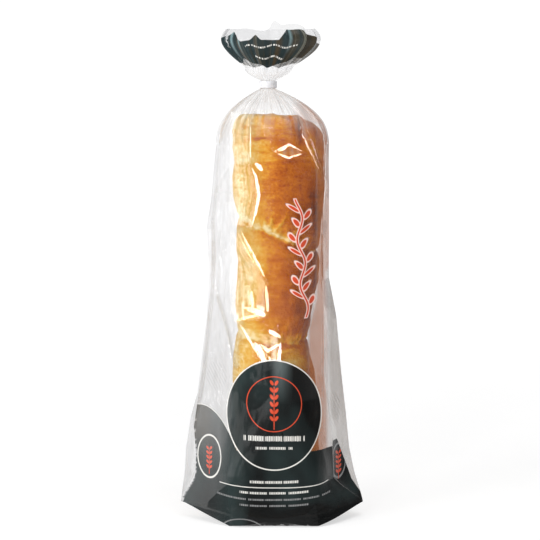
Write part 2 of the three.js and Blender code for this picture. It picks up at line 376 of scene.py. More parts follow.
# Painted shade: darker just under each crease and along the split in the crown.
bake += SHADE_UNDER["share"] * np.exp(-((above_nearest + SHADE_UNDER["below"]) / SHADE_UNDER["reach"]) ** 2)
bake += CROWN_SPLIT["shade"] * np.exp(-(from_split / CROWN_SPLIT["shade_width"]) ** 2) * split_share
bake -= GOLD_CROWN["share"] * smoothstep(crust[:, 2], GOLD_CROWN["low"], GOLD_CROWN["high"])
bake -= CROWN_RIM["dark"] * rim_lumps
bake += lumps(crust, BROWN_LUMPS)
bake -= sum(patch["gold"] * patch_share(crust, patch) for patch in PATCHES)
bake -= sum(fold["gold"] * share for fold, share in zip(folds, fold_shares))
keep_attribute(loaf, "bake", np.clip(bake, 0, 1))
keep_attribute(loaf, "valley", 1 - smoothstep(from_crease, 0, 9))
loaf_low, loaf_high = crust.min(0), crust.max(0)
print("loaf from", loaf_low.round(1), "to", loaf_high.round(1), "mm")

# %% [markdown]
# Materials are node trees, and reading them is easier as sums than as boxes and wires. The class Value wraps
# one output of a node, so that an expression such as 1 - mask adds its Math nodes by itself. The class Finish
# is the node tree of one material, or of the world. Its method node makes any other node from a type, its
# settings and what goes into it.

# %% Shader values and finishes
class Value:
    """One output of a node. Sums on it add Math nodes to the same material."""

    def __init__(self, finish, socket):
        self.finish = finish
        self.socket = socket

    def math(self, operation, *others):
        inputs = dict(enumerate((self, *others)))
        return self.finish.node("ShaderNodeMath", {"operation": operation}, inputs)

    def __add__(self, other):
        return self.math("ADD", other)

    def __sub__(self, other):
        return self.math("SUBTRACT", other)

    def __rsub__(self, other):
        return self.math("MULTIPLY", -1).math("ADD", other)

    def __mul__(self, other):
        return self.math("MULTIPLY", other)

    def __truediv__(self, other):
        return self.math("DIVIDE", other)

    def __pow__(self, other):
        return self.math("POWER", other)

    def __abs__(self):
        return self.math("ABSOLUTE")

    __radd__ = __add__
    __rmul__ = __mul__

    def least(self, other):
        return self.math("MINIMUM", other)

    def most(self, other):
        return self.math("MAXIMUM", other)

    def clamped(self):
        return self.finish.node("ShaderNodeClamp", None, {"Value": self})

    def repeated(self, length):
        """The value counted again from 0 in each stretch of this length."""
        return self.math("FLOORED_MODULO", length)

    def over(self, threshold, slope):
        """0 up to a threshold, then up to 1 at this slope."""
        return ((self - threshold) * slope).clamped()

    def rises(self, start, stretch):
        """0 up to a place, then up to 1 over a stretch."""
        return ((self - start) / stretch).clamped()

    def falls(self, end, stretch):
        """0 from a place on, and 1 up to a stretch before it."""
        return ((end - self) / stretch).clamped()

    def within(self, low, high):
        """1 between two places, each with the stretch over which it changes there."""
        return self.rises(*low) * self.falls(*high)


def joined(masks):
    """All the masks as one."""
    return reduce(Value.most, masks)


class Finish:
    """The node tree of a material, or of the world, made node by node."""

    def __init__(self, owner, end="ShaderNodeOutputMaterial"):
        owner.use_nodes = True
        owner.node_tree.nodes.clear()
        self.owner = owner
        self.tree = owner.node_tree
        self.end = end

    def node(self, kind, settings=None, inputs=None, output=0):
        made = self.tree.nodes.new(kind)
        for name, value in (settings or {}).items():
            if name == "stops":
                set_stops(made.color_ramp, value)
            else:
                setattr(made, name, value)
        for name, value in (inputs or {}).items():
            if isinstance(value, Value):
                self.tree.links.new(value.socket, made.inputs[name])
            else:
                made.inputs[name].default_value = value
        return Value(self, made.outputs[output])

    def place(self):
        """The point on the piece in millimetres."""
        spot = self.node("ShaderNodeTexCoord", output="Object")
        return self.node("ShaderNodeVectorMath", {"operation": "SCALE"}, {0: spot, "Scale": 1 / MM})

    def axes(self, vector):
        parts = self.node("ShaderNodeSeparateXYZ", None, {0: vector})
        sockets = parts.socket.node.outputs
        return [Value(self, sockets[axis]) for axis in "XYZ"]

    def stretched(self, vector, x, y, z):
        factors = {0: vector, 1: (x, y, z)}
        return self.node("ShaderNodeVectorMath", {"operation": "MULTIPLY"}, factors)

    def noise(self, vector, scale, detail=3, roughness=0.5):
        inputs = {"Vector": vector, "Scale": scale, "Detail": detail, "Roughness": roughness}
        return self.node("ShaderNodeTexNoise", None, inputs)

    def noise_along(self, value, detail=1):
        """Noise that changes with one value alone."""
        return self.noise(self.node("ShaderNodeCombineXYZ", None, {"X": value}), 1, detail)

    def attribute(self, name):
        return self.node("ShaderNodeAttribute", {"attribute_name": name}, output="Fac")

    def blend(self, share, first, second):
        """A colour between two others. The Mix node's colour sockets are numbers 6 and 7, its output 2."""
        return self.node("ShaderNodeMix", {"data_type": "RGBA"}, {0: share, 6: first, 7: second}, 2)

    def ramp(self, value, stops):
        return self.node("ShaderNodeValToRGB", {"stops": stops}, {"Fac": value}, "Color")

    def bump(self, height, distance, strength):
        inputs = {"Height": height, "Distance": distance, "Strength": strength}
        return self.node("ShaderNodeBump", None, inputs)

    def glossy(self, colour, roughness, **others):
        """A Principled shader. The names of its other inputs are given with _ for each space."""
        inputs = {"Base Color": colour, "Roughness": roughness}
        inputs.update({name.replace("_", " "): value for name, value in others.items()})
        return self.node("ShaderNodeBsdfPrincipled", None, inputs)

    def show(self, shader):
        output = self.tree.nodes.new(self.end)
        self.tree.links.new(shader.socket, output.inputs["Surface"])
        return self.owner


def set_stops(ramp, stops):
    """Puts the stops, as (place, colour), on a ramp that starts with two."""
    while len(ramp.elements) < len(stops):
        ramp.elements.new(1)
    for element, (place, color) in zip(ramp.elements, stops):
        element.position = place
        element.color = color


def srgb(red, green, blue):
    """A colour as seen on a screen, 0 to 255, as the shader's linear light."""
    screen = [channel / 255 for channel in (red, green, blue)]
    linear = [c / 12.92 if c < 0.0404 else ((c + 0.055) / 1.055) ** 2.4 for c in screen]
    return (*linear, 1)


print("warm brown in linear light:", [round(c, 3) for c in srgb(176, 98, 42)])

# %% [markdown]
# A brioche crust is brushed with egg before it is baked, so it is glossy over a fine, slightly leathery
# grain. Its colour runs from pale straw in the valleys over gold and orange to chestnut on the crowns. A
# colour ramp turns the baked value, with its painted shade, into those colours. Long stretch marks run
# into the valleys, and fine pores cover the rest, both as bump.

# %% Crust
CRUST_COLOURS = [
    (0.00, srgb(236, 216, 164)),
    (0.22, srgb(216, 170, 74)),
    (0.42, srgb(211, 143, 24)),
    (0.62, srgb(191, 105, 5)),
    (0.82, srgb(167, 79, 2)),
    (1.00, srgb(120, 50, 2)),
]
CRUST_TONES = {"mottle": 0.5, "streaks": 0.4, "grain": 0.3, "specks": 0.4}


def crust_finish():
    crust = Finish(bpy.data.materials.new("egg_washed_crust"))
    spot = crust.place()
    valley = crust.attribute("valley")
    noises = {
        "mottle": crust.noise(spot, 0.09, 4, 0.6),
        "streaks": crust.noise(crust.stretched(spot, 0.045, 0.045, 0.26), 1, 3),
        "grain": crust.noise(spot, 0.9, 4, 0.6),
        "specks": crust.noise(spot, 0.42, 2, 0.5),
    }
    pores = crust.node("ShaderNodeTexVoronoi", {"feature": "SMOOTH_F1"}, {"Vector": spot, "Scale": 0.55})
    toned = crust.attribute("bake")
    for name, share in CRUST_TONES.items():
        toned = toned + share * (noises[name] - 0.5)
    relief = noises["streaks"] * (0.5 + 0.6 * valley) + 0.35 * pores + 0.35 * noises["grain"]
    relief = relief + 0.6 * noises["mottle"] + 0.6 * noises["specks"]
    colour = crust.ramp(toned.clamped(), CRUST_COLOURS)
    roughness = (0.38 + 0.25 * noises["grain"]).clamped()
    leathery = crust.bump(relief, 0.0012, 0.9)
    return crust.show(crust.glossy(colour, roughness, Normal=leathery, Specular_IOR_Level=0.22))


loaf.data.materials.clear()
loaf.data.materials.append(crust_finish())
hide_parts("bag")
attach(loaf, "root")
print("crust nodes:", len(loaf.data.materials[0].node_tree.nodes))

# %% [markdown]
# The bag is one sheet of film, folded by a machine: a front and a back panel, and a gusset tucked in down
# each side. So it starts as a flat grid, the sheet itself, and each row of the grid is then wrapped round
# the pack at its height. The profiles are those of the CAD solid, which the film stands for: where the four
# folds run, how deep they lie, and how the film is drawn in to the tied neck.

# %% Profiles of the bag
SHOULDER_Z = 375
NECK_BOTTOM_Z = 431
NECK_TOP_Z = 439
RIM_Z = 490
EAR_REACH = 92.3
FRONT_LEFT_FOLD = [[0, -EAR_REACH], [45, -77], [65, -76], [95, -78], [150, -70], [240, -60], [300, -60],
                   [375, -52]]
FRONT_RIGHT_FOLD = [[0, EAR_REACH], [24, 76], [42, 62], [85, 60], [110, 56], [150, 51], [300, 50], [375, 53]]
BACK_LEFT_FOLD = [[0, -EAR_REACH], [45, -89], [65, -88], [98, -83], [122, -76], [200, -66.5], [250, -64],
                  [290, -67], [320, -62], [375, -57]]
BACK_RIGHT_FOLD = [[0, EAR_REACH], [31, 86.5], [67, 79], [98, 76], [150, 70], [200, 65.5], [240, 58.2],
                   [375, 57.8]]
FOLD_DEPTH = [[0, 1.5], [20, 7], [45, 16], [95, 22], [240, 24], [375, 27]]
GUSSET_TUCK = [[0, 0.4], [45, 3.5], [120, 5.5], [300, 5], [375, 3]]
PANEL_MIDDLE = [[0, 5], [60, 1], [375, 2]]
FRONT_HALF = [[0, 44], [60, 40], [125, 27], [375, 25]]
FRONT_CROWN = [[0, 0.965], [60, 0.95], [125, 0.93], [375, 0.93]]
BACK_HALF = [[0, 44], [100, 39], [375, 38]]
BACK_CROWN = 0.965
BODY_DEPTH = [[0, 51], [300, 51], [375, 48]]
RIDGE_X = [[0, -20], [60, -12], [130, 4], [160, 8], [190, 8], [212, -4], [242, -4], [293, -27], [297, -19],
           [327, -12.6], [345, -17], [363, -21], [430, -21]]
RIDGE_SHARE = [[0, 0], [50, 0], [130, 1], [430, 1]]
SHELF_X = -40
SHELF_Y = [[0, -30], [200, -27], [250, -28], [290, -30.5], [330, -33.5], [370, -35.2], [430, -36]]
FOOT = {"middle": 2, "half": 44, "depth": 47, "lift": 0.9, "ear_lift": 14.8, "fades_at": 48}
FOOT_SLACK = {"front": 4.5, "back": 2, "reach": 23}
NECK = {"x": -4, "radius": 7.6, "power": 2.4, "start": math.radians(202), "pinch": 0.85}
FRILL = {"x": -1.5, "y": -1.5, "width": 46.5, "depth": 41, "widest": 0.8, "power": 1.25}
FRILL_BULGE = {"rise": 6, "height": 14}
FRONT_RIM_DROP = 3
RIM_PEAKS = [(0.672, 9, 0.022), (0.615, 6, 0.045), (0.565, 3.5, 0.04), (0.79, 2, 0.05)]

PANEL_STEPS = 102
SHELF_STEPS = 16
FLAT_STEPS = 30
GUSSET_STEPS = 30
RIDGE_DEPTH = 0.985
RIDGE_TURN = {"after": 9, "past_middle": 7}
ROUND = 2 * (PANEL_STEPS + GUSSET_STEPS)
share = np.arange(ROUND) / ROUND
turn = 2 * math.pi * share
gathered = np.column_stack([np.cos(NECK["start"] + turn), np.sin(NECK["start"] + turn)])


def line_through(corners, steps):
    """Points on a smooth line through the corners, without its last one."""
    p = np.array(corners, float)
    p = np.vstack([2 * p[0] - p[1], p, 2 * p[-1] - p[-2]])
    length = np.sqrt(np.linalg.norm(np.diff(p, axis=0), axis=1))
    t = np.arange(steps) / steps * (len(corners) - 1)
    k = t.astype(int)
    w = (t - k)[:, None]
    a, b, c, d = p[k], p[k + 1], p[k + 2], p[k + 3]
    before, here, after = (length[k + j][:, None] for j in range(3))
    leave = ((b - a) / before - (c - a) / (before + here)) * here + (c - b)
    arrive = (c - b) + ((d - c) / after - (d - b) / (here + after)) * here
    return ((2 * w**3 - 3 * w**2 + 1) * b + (w**3 - 2 * w**2 + w) * leave
            + (3 * w**2 - 2 * w**3) * c + (w**3 - w**2) * arrive)


def straight(start, end, steps):
    """Points on a straight line, without its last one."""
    share_along = (np.arange(steps) / steps)[:, None]
    return np.array(start) + (np.array(end) - start) * share_along


def front_panel(z, front_left, front_right):
    """The front of the film: it clings to the loaf's left edge, lies flat up to a ridge, then rounds off."""
    depth, middle = along(BODY_DEPTH, z), along(PANEL_MIDDLE, z)
    half, crown = along(FRONT_HALF, z), along(FRONT_CROWN, z)
    edges = [(middle + k * half, -depth * (crown if k else 1)) for k in (-1, 0, 1)]
    smooth_line = line_through([front_left, *edges, front_right], PANEL_STEPS)
    ridge = (along(RIDGE_X, z), -depth * RIDGE_DEPTH)
    shelf = (SHELF_X, along(SHELF_Y, z))
    outer_side = straight(front_left, shelf, SHELF_STEPS)
    flat_side = straight(shelf, ridge, FLAT_STEPS)
    towards = (max(ridge[0] + RIDGE_TURN["after"], middle + RIDGE_TURN["past_middle"]), -depth)
    round_side = line_through([ridge, towards, edges[2], front_right], PANEL_STEPS - SHELF_STEPS - FLAT_STEPS)
    share_of_ridge = along(RIDGE_SHARE, z)
    creased = np.vstack([outer_side, flat_side, round_side])
    return smooth_line * (1 - share_of_ridge) + creased * share_of_ridge


def body_section(z):
    """The outline of the body at one height: panels and gussets meet in four folds."""
    depth, middle = along(BODY_DEPTH, z), along(PANEL_MIDDLE, z)
    fold, tuck = along(FOLD_DEPTH, z), along(GUSSET_TUCK, z)
    front_left = (along(FRONT_LEFT_FOLD, z), -fold)
    front_right = (along(FRONT_RIGHT_FOLD, z), -fold)
    back_right = (along(BACK_RIGHT_FOLD, z), fold)
    back_left = (along(BACK_LEFT_FOLD, z), fold)
    right_tuck = ((front_right[0] + back_right[0]) / 2 - tuck, 0)
    left_tuck = ((front_left[0] + back_left[0]) / 2 + tuck, 0)

    back = [(middle - k * along(BACK_HALF, z), depth * (BACK_CROWN if k else 1)) for k in (-1, 0, 1)]
    return np.vstack([
        front_panel(z, front_left, front_right),
        line_through([front_right, right_tuck, back_right], GUSSET_STEPS),
        line_through([back_right, *back, back_left], PANEL_STEPS),
        line_through([back_left, left_tuck, front_left], GUSSET_STEPS),
    ])


print("points round the bag:", len(body_section(200)))

# %% [markdown]
# Above the loaf the film is gathered: every point moves towards its own place round the neck, in pleats that
# are uneven, because nobody folds them. Over the band the same pleats open into the frill. Below, the sheet
# closes flat under the loaf, and its two corners stand out as ears.

# %% Rows of the bag
SHOULDER_PLEATS = [(17, 2.1), (41, 0.8)]
FRILL_PLEATS = [(7, 3.2), (13, 1.8), (29, 0.7)]
PLEAT_SWAY = 1.1


def pleats(kinds):
    """Uneven folds round the bag with flat sides, from (count, depth) pairs."""
    total = np.zeros(ROUND)
    for count, depth in kinds:
        phase = count * turn + PLEAT_SWAY * (np.sin(3 * turn + 0.7) + np.sin(5 * turn + 2.1))
        total += depth * (1 - 4 / math.pi * np.arcsin(np.abs(np.sin(phase / 2))))
    return total


def with_height(flat, z):
    return np.column_stack([flat, np.broadcast_to(z, len(flat))])


def foot_lift(flat):
    """The bottom edge rises to the ears, and a little where the film is slack between them."""
    beside = np.abs(flat[:, 0] - FOOT["middle"])
    to_ear = np.clip((beside - FOOT["half"]) / (EAR_REACH - FOOT["middle"] - FOOT["half"]), 0, 1)
    slack = np.where(flat[:, 1] < 0, FOOT_SLACK["front"], FOOT_SLACK["back"])
    lift = FOOT["lift"] + (FOOT["ear_lift"] - FOOT["lift"]) * to_ear
    return lift + slack * np.exp(-(beside / FOOT_SLACK["reach"]) ** 2)


def body_row(z):
    flat = body_section(z)
    fade = 1 - smoothstep(z, 0, FOOT["fades_at"])
    return with_height(flat, z + foot_lift(flat) * fade)


def shoulder_row(z):
    t = (z - SHOULDER_Z) / (NECK_BOTTOM_Z - SHOULDER_Z)
    open_share = 1 - t ** NECK["power"]
    out = pleats(SHOULDER_PLEATS) * math.sin(math.pi * t) ** 0.7
    neck = np.array([NECK["x"], 0]) + gathered * NECK["radius"]
    flat = neck + (body_section(SHOULDER_Z) - neck) * open_share + gathered * out[:, None]
    return with_height(flat, z)


def rim_rise():
    """The peaks of the frill's rim, less a drop at its front."""
    peaks = sum(rise * np.exp(-((share - at) / reach) ** 2) for at, rise, reach in RIM_PEAKS)
    return peaks - FRONT_RIM_DROP * np.clip(-gathered[:, 1], 0, None)


def frill_row(z):
    t = max(0.0, (z - NECK_TOP_Z) / (RIM_Z - NECK_TOP_Z))
    flare = math.sin(math.pi / 2 * (t / FRILL["widest"]) ** FRILL["power"])
    over_band = np.clip((z - NECK_TOP_Z) / FRILL_BULGE["height"], 0, 1)
    bulge = FRILL_BULGE["rise"] * math.sin(math.pi * over_band)
    reach = np.array([FRILL["width"], FRILL["depth"]]) * flare + NECK["radius"] * (1 - flare) + bulge
    middle = np.array([NECK["x"] + (FRILL["x"] - NECK["x"]) * flare, FRILL["y"] * flare])
    out = pleats(FRILL_PLEATS) * flare
    in_band = np.clip((z - NECK_BOTTOM_Z) / (NECK_TOP_Z - NECK_BOTTOM_Z), 0, 1)
    reach = reach * (1 - NECK["pinch"] * math.sin(math.pi * in_band))
    return with_height(middle + gathered * (reach + out[:, None]), z + rim_rise() * smoothstep(t, 0.55, 1))


def foot_row():
    flat = body_section(0)
    x = FOOT["middle"] + np.clip(flat[:, 0] - FOOT["middle"], -FOOT["half"], FOOT["half"])
    return with_height(np.column_stack([x, np.clip(1.6 * flat[:, 1], -FOOT["depth"], FOOT["depth"])]), 0)


def seam_row():
    """The middle of the underside, where front and back meet in one line."""
    corners = [0, PANEL_STEPS, PANEL_STEPS + GUSSET_STEPS, 2 * PANEL_STEPS + GUSSET_STEPS, ROUND]
    ends = np.array([-1, 1, 1, -1, -1]) * FOOT["half"] + FOOT["middle"]
    x = np.interp(np.arange(ROUND), corners, ends)
    return with_height(np.column_stack([x, np.zeros(ROUND)]), 0)


def between(first, second, steps):
    return [first + (second - first) * step / steps for step in range(steps)]


def heights(low, high, step):
    return np.linspace(low, high, math.ceil((high - low) / step), endpoint=False)


body_heights = heights(0, SHOULDER_Z, 1.7)
shoulder_heights = heights(SHOULDER_Z, NECK_BOTTOM_Z, 1.25)
neck_heights = heights(NECK_BOTTOM_Z, NECK_TOP_Z, 1.6)
frill_heights = [*heights(NECK_TOP_Z, RIM_Z, 1.25), RIM_Z]
under = [*between(seam_row(), foot_row(), 9), *between(foot_row(), body_row(0), 3)]
rows = np.array([
    *under,
    *[body_row(z) for z in body_heights],
    *[shoulder_row(z) for z in shoulder_heights],
    *[frill_row(z) for z in neck_heights],
    *[frill_row(z) for z in frill_heights],
])
row_height = np.array([*[0] * len(under), *body_heights, *shoulder_heights, *neck_heights, *frill_heights])
print("rows of film:", rows.shape[0], "with", rows.shape[1], "points each")

# %% [markdown]
# Thin film doesn't wrinkle in soft waves: it buckles into flat facets that meet in sharp ridges, which is
# what flashes in the light. A scattered net of points with random heights, joined by straight triangles,
# has just that shape. Three such nets, from coarse to fine, are laid over the sheet. All are longer up the
# pack than round it, because the film hangs. The long ridges that stand out are added one by one.
#
# Three more tables hold lines and outlines on the front. Glints lie along the folds that catch the light,
# slack facets look milky, and the film is darker just beside a sharp fold. Each point of the sheet keeps
# what it gets from them as attributes, which the film's material reads.

# %% Facets and creases in the film
SHEET_WIDTH = 430
GLINT_REACH = 4.0
GLINT_FACES = -0.3
NETS = table(
    "across up rise seed",
    (24, 58, 1.7, 11),
    (12, 26, 0.75, 23),
    (6, 11, 0.22, 37),
)
FRONT, BACK = -1, 1
FILM_CREASES = table(
    "face from to rise reach",
    (FRONT, (-21, 404), (-21, 366), 1.2, 4),
    (FRONT, (-21, 366), (-31, 353), 1.4, 4),
    (FRONT, (-22, 357), (-14, 330), 1.5, 4),
    (FRONT, (-14, 330), (-21, 296), 1.6, 4),
    (FRONT, (-31, 294), (-4, 243), 1.8, 4),
    (FRONT, (-37, 280), (-9, 240), 1.4, 4),
    (FRONT, (-35, 206), (-8, 164), 2.0, 5),
    (FRONT, (-30, 203), (-7, 211), 1.6, 5),
    (FRONT, (8, 196), (10, 164), 1.4, 4),
    (FRONT, (-14, 190), (7, 194), 1.4, 5),
    (FRONT, (3, 369), (17, 375), 1.3, 4),
    (FRONT, (17, 375), (30, 368), 1.3, 4),
    (FRONT, (3, 369), (15, 363), 1.3, 4),
    (FRONT, (15, 363), (30, 368), 1.3, 4),
    (FRONT, (24, 402), (47, 344), 1.8, 5),
    (FRONT, (49, 284), (49, 90), 1.4, 4),
    (FRONT, (-58, 246), (-38, 152), 1.8, 5),
    (BACK, (30, 350), (2, 262), 2.2, 7),
    (BACK, (-34, 330), (-10, 232), 2, 7),
    (BACK, (22, 214), (40, 104), 2.2, 7),
    (BACK, (-16, 196), (-44, 92), 2, 7),
)
GLINTS = table(
    "half line",
    (1.4, [(1, 369), (16, 363), (32, 368)]),
    (1.3, [(1, 369), (17, 376), (32, 368)]),
    (1.6, [(5, 370), (15, 373.5)]),
    (2.1, [(-17, 358), (-13, 355), (-9, 350)]),
    (1.8, [(-21, 356), (-16, 346), (-12.6, 327), (-16, 310), (-19.4, 295)]),
    (1.5, [(-32, 295), (-18, 268), (-3.5, 241)]),
    (0.8, [(-34, 290), (-15, 256)]),
    (1.8, [(-6, 240), (-5, 226), (-4, 211)]),
    (3.0, [(-28, 216), (-16, 213), (-5, 209)]),
    (2.2, [(-20.6, 234), (-19, 214)]),
    (1.8, [(-37, 202), (-26, 206), (-14, 209)]),
    (0.5, [(-35, 284), (-36, 250), (-37, 206)]),
    (1.5, [(-36, 206), (-22, 184), (-9, 162)]),
    (2.6, [(-4, 195), (9, 188)]),
    (2.6, [(-17, 183), (-10, 172), (-5, 156)]),
    (1.9, [(-13, 182), (-4, 174), (9, 183)]),
    (2.0, [(8.5, 184), (7, 170), (6, 156)]),
    (1.5, [(-3, 172), (-1, 158)]),
    (1.6, [(-60, 266), (-56, 232), (-46.5, 196), (-38.5, 154)]),
    (0.8, [(-58, 329), (-45, 352)]),
    (0.6, [(-50, 292), (-51, 262), (-49, 238)]),
    (0.4, [(50, 283), (49.4, 190), (50, 87)]),
    (1.3, [(27, 390), (38, 368), (48.5, 346)]),
    (0.8, [(-21, 404), (-21, 363), (-30, 354)]),
    (0.45, [(-31, 352), (-30.5, 312), (-31, 270)]),
    (1.1, [(33, 394), (44, 364), (50, 348)]),
    (0.6, [(51.5, 380), (53, 360), (50.5, 350)]),
)
SLACK_FACETS = table(
    "share corners",
    (0.08, [(-41, 293), (-31, 293), (-4, 242), (-4, 212), (-14, 206), (-34, 204), (-41, 210)]),
    (0.08, [(-41, 350), (-21, 357), (-14, 328), (-20, 296), (-41, 296)]),
    (0.09, [(-41, 408), (-22, 408), (-22, 364), (-31, 353), (-41, 351)]),
    (0.4, [(-37, 202), (-24, 236), (-20, 222), (-7, 218), (-7, 208), (-22, 204)]),
    (0.22, [(-12, 190), (6, 190), (5, 158), (-4, 156)]),
    (0.3, [(3, 369), (16, 375), (30, 368), (16, 364)]),
    (0.12, [(24, 404), (28, 390), (48, 350), (36, 372), (34, 396)]),
)
FOLD_SHADES = table(
    "share half line",
    (0.4, 1.7, [(-54, 226), (-43.5, 190), (-36, 156)]),
    (0.08, 1.2, [(-43, 351), (-54, 332)]),
)
TIGHT_FRONT = {"across": (-4, 4, 40, 52), "up": (60, 80, 336, 356), "share": 0.3}
LOOSENESS = [[0, 0], [6, 0.25], [60, 0.55], [150, 0.9], [375, 1], [425, 0.5], [433, 0], [442, 0.1],
             [470, 0.6], [490, 0.6]]
FOLD_STIFFNESS = [[0, 0.25], [8, 1]]

across = np.broadcast_to(share * SHEET_WIDTH, rows.shape[:2])
up = np.broadcast_to(row_height[:, None], rows.shape[:2])


def scattered_net(net):
    """Jittered points over the sheet with random heights, repeated past the seam so that it matches there."""
    chance = np.random.default_rng(net["seed"])
    columns = round(SHEET_WIDTH / net["across"])
    levels = math.ceil((RIM_Z + 40) / net["up"])
    jitter = chance.uniform(-0.38, 0.38, (levels, columns, 2))
    rise = chance.uniform(-1, 1, (levels, columns)) * net["rise"]
    level, column = np.mgrid[0:levels, -1:columns + 2]
    wrapped = column % columns
    x = (column + 0.5 + jitter[level, wrapped, 0]) * SHEET_WIDTH / columns
    z = (level - 0.5 + (wrapped % 2) * 0.5 + jitter[level, wrapped, 1]) * net["up"]
    return x.ravel(), z.ravel(), rise[level, wrapped].ravel()


def facet_heights(net):
    """The height of the net over every point of the sheet: straight between its corners."""
    x, z, rise = scattered_net(net)
    stretch = net["across"] / net["up"]
    corners = [Vector((a, b * stretch)) for a, b in zip(x, z)]
    triangles = delaunay_2d_cdt(corners, [], [], 0, 1e-6)[2]
    total = np.zeros(rows.shape[:2])
    for i, j, k in (t for t in triangles if len(t) == 3):
        lowest = max(0, np.searchsorted(row_height, min(z[i], z[j], z[k])) - 1)
        highest = np.searchsorted(row_height, max(z[i], z[j], z[k]), side="right") + 1
        left = max(0, int(min(x[i], x[j], x[k]) / SHEET_WIDTH * ROUND))
        right = int(max(x[i], x[j], x[k]) / SHEET_WIDTH * ROUND) + 2
        patch = (slice(lowest, highest), slice(left, right))
        a, b = across[patch], up[patch]
        area = (x[j] - x[i]) * (z[k] - z[i]) - (x[k] - x[i]) * (z[j] - z[i])
        if abs(area) < 1e-6 or a.size == 0:
            continue
        second = ((a - x[i]) * (z[k] - z[i]) - (x[k] - x[i]) * (b - z[i])) / area
        third = ((x[j] - x[i]) * (b - z[i]) - (a - x[i]) * (z[j] - z[i])) / area
        inside = (second >= -1e-6) & (third >= -1e-6) & (second + third <= 1 + 1e-6)
        value = rise[i] + second * (rise[j] - rise[i]) + third * (rise[k] - rise[i])
        total[patch] = np.where(inside, value, total[patch])
    return total


def crease_heights(points):
    """Ridges that run straight from one place to another on the front or the back."""
    total = np.zeros(points.shape[:2])
    for crease in FILM_CREASES:
        away = off_line(points[..., [0, 2]], crease["from"], crease["to"])[1]
        tent = crease["rise"] * np.clip(1 - away / crease["reach"], 0, None)
        total += np.where(np.sign(points[..., 1]) == crease["face"], tent, 0)
    return total


def glint_depths(points):
    """How deep each point lies within a glint, in millimetres, less than zero outside."""
    to_front = (points[..., 1] < 0) & (sheet_normals(points)[..., 1] < GLINT_FACES)
    deepest = np.full(points.shape[:2], -GLINT_REACH)
    for glint in GLINTS:
        lengths = np.linalg.norm(np.diff(glint["line"], axis=0), axis=1)
        done = np.cumsum([0, *lengths]) / lengths.sum()
        for number, ends in enumerate(zip(glint["line"], glint["line"][1:])):
            place, away = off_line(points[..., [0, 2]], *ends)
            place = done[number] + place * (done[number + 1] - done[number])
            taper = np.sqrt(np.clip(4 * place * (1 - place), 0, 1))
            deepest = np.maximum(deepest, glint["half"] * (1.2 * taper - 0.2) - away)
    return np.where(to_front, deepest, -GLINT_REACH)


def polygon_depths(flat, corners):
    """How deep each flat point lies within a polygon, in millimetres, less than zero outside."""
    nearest_edge = np.full(flat.shape[:-1], np.inf)
    within = np.zeros(flat.shape[:-1], bool)
    for start, end in zip(corners, corners[1:] + corners[:1]):
        nearest_edge = np.minimum(nearest_edge, off_line(flat, start, end)[1])
        if start[1] != end[1]:
            crossing = start[0] + (flat[..., 1] - start[1]) * (end[0] - start[0]) / (end[1] - start[1])
            spans = (flat[..., 1] > min(start[1], end[1])) & (flat[..., 1] <= max(start[1], end[1]))
            within ^= spans & (flat[..., 0] < crossing)
    return np.where(within, nearest_edge, -nearest_edge)


def facet_veil(points):
    """How hazy the slack facets on the front make the film, from their soft outlines."""
    veil = np.zeros(points.shape[:2])
    for facet in SLACK_FACETS:
        depth = polygon_depths(points[..., [0, 2]], facet["corners"])
        veil = np.maximum(veil, smoothstep(depth, -1.0, 1.2) * facet["share"])
    return np.where(points[..., 1] < 0, veil, 0)


def fold_shade(points):
    """How much darker the film is just beside a sharp fold."""
    shade = np.zeros(points.shape[:2])
    for fold in FOLD_SHADES:
        for ends in zip(fold["line"], fold["line"][1:]):
            away = off_line(points[..., [0, 2]], *ends)[1]
            shade = np.maximum(shade, fold["share"] * np.exp(-(away / fold["half"]) ** 2))
    return np.where(points[..., 1] < 0, shade, 0)


def sheet_normals(points):
    """The outward direction at each point, from its neighbours round and up the bag."""
    sideways = np.roll(points, -1, axis=1) - np.roll(points, 1, axis=1)
    upwards = np.gradient(points, axis=0)
    normals = np.cross(sideways, upwards)
    return normals / np.maximum(np.linalg.norm(normals, axis=-1, keepdims=True), 1e-9)


def plateau(value, low, full, until, high):
    """1 between full and until, fading to 0 at low and at high."""
    return smoothstep(value, low, full) * (1 - smoothstep(value, until, high))


fold_columns = np.cumsum([0, PANEL_STEPS, GUSSET_STEPS, PANEL_STEPS, GUSSET_STEPS])
from_fold = np.abs(np.arange(ROUND)[:, None] - fold_columns).min(axis=1)
stiffness = np.where(row_height[:, None] < SHOULDER_Z, along(FOLD_STIFFNESS, from_fold), 1)
tight = plateau(rows[..., 0], *TIGHT_FRONT["across"]) * plateau(up, *TIGHT_FRONT["up"]) * (rows[..., 1] < 0)
stiffness = stiffness * (1 - tight * (1 - TIGHT_FRONT["share"]))
looseness = along(LOOSENESS, up)
facets = sum(facet_heights(net) for net in NETS)
film_points = rows + sheet_normals(rows) * (facets * looseness * stiffness + crease_heights(rows))[..., None]
film_points[..., 2] = np.maximum(film_points[..., 2], 0)
print("film moved by up to", round(float(np.abs(film_points - rows).max()), 2), "mm")

# %% [markdown]
# The film lies on the loaf, so it can't dip into it. The loaf's skin goes into a search tree, and each
# point of the film that is too close to it, or inside it, moves out to just above the crust.

# %% Film held off by the loaf
CLEARANCE = 1.1
LOAF_REACH_Z = 415
SLACK_REACH = 22

crust_tree = BVHTree.FromPolygons([v.co / MM for v in loaf.data.vertices],
                                  [tuple(face.vertices) for face in loaf.data.polygons])


def held_off(point):
    """The point moved out of the loaf, and how far it is from the crust."""
    near, normal, _, away = crust_tree.find_nearest(Vector(point))
    depth = (Vector(point) - near).dot(normal)
    if depth > CLEARANCE:
        return point, away
    return np.array(near + normal * CLEARANCE), CLEARANCE


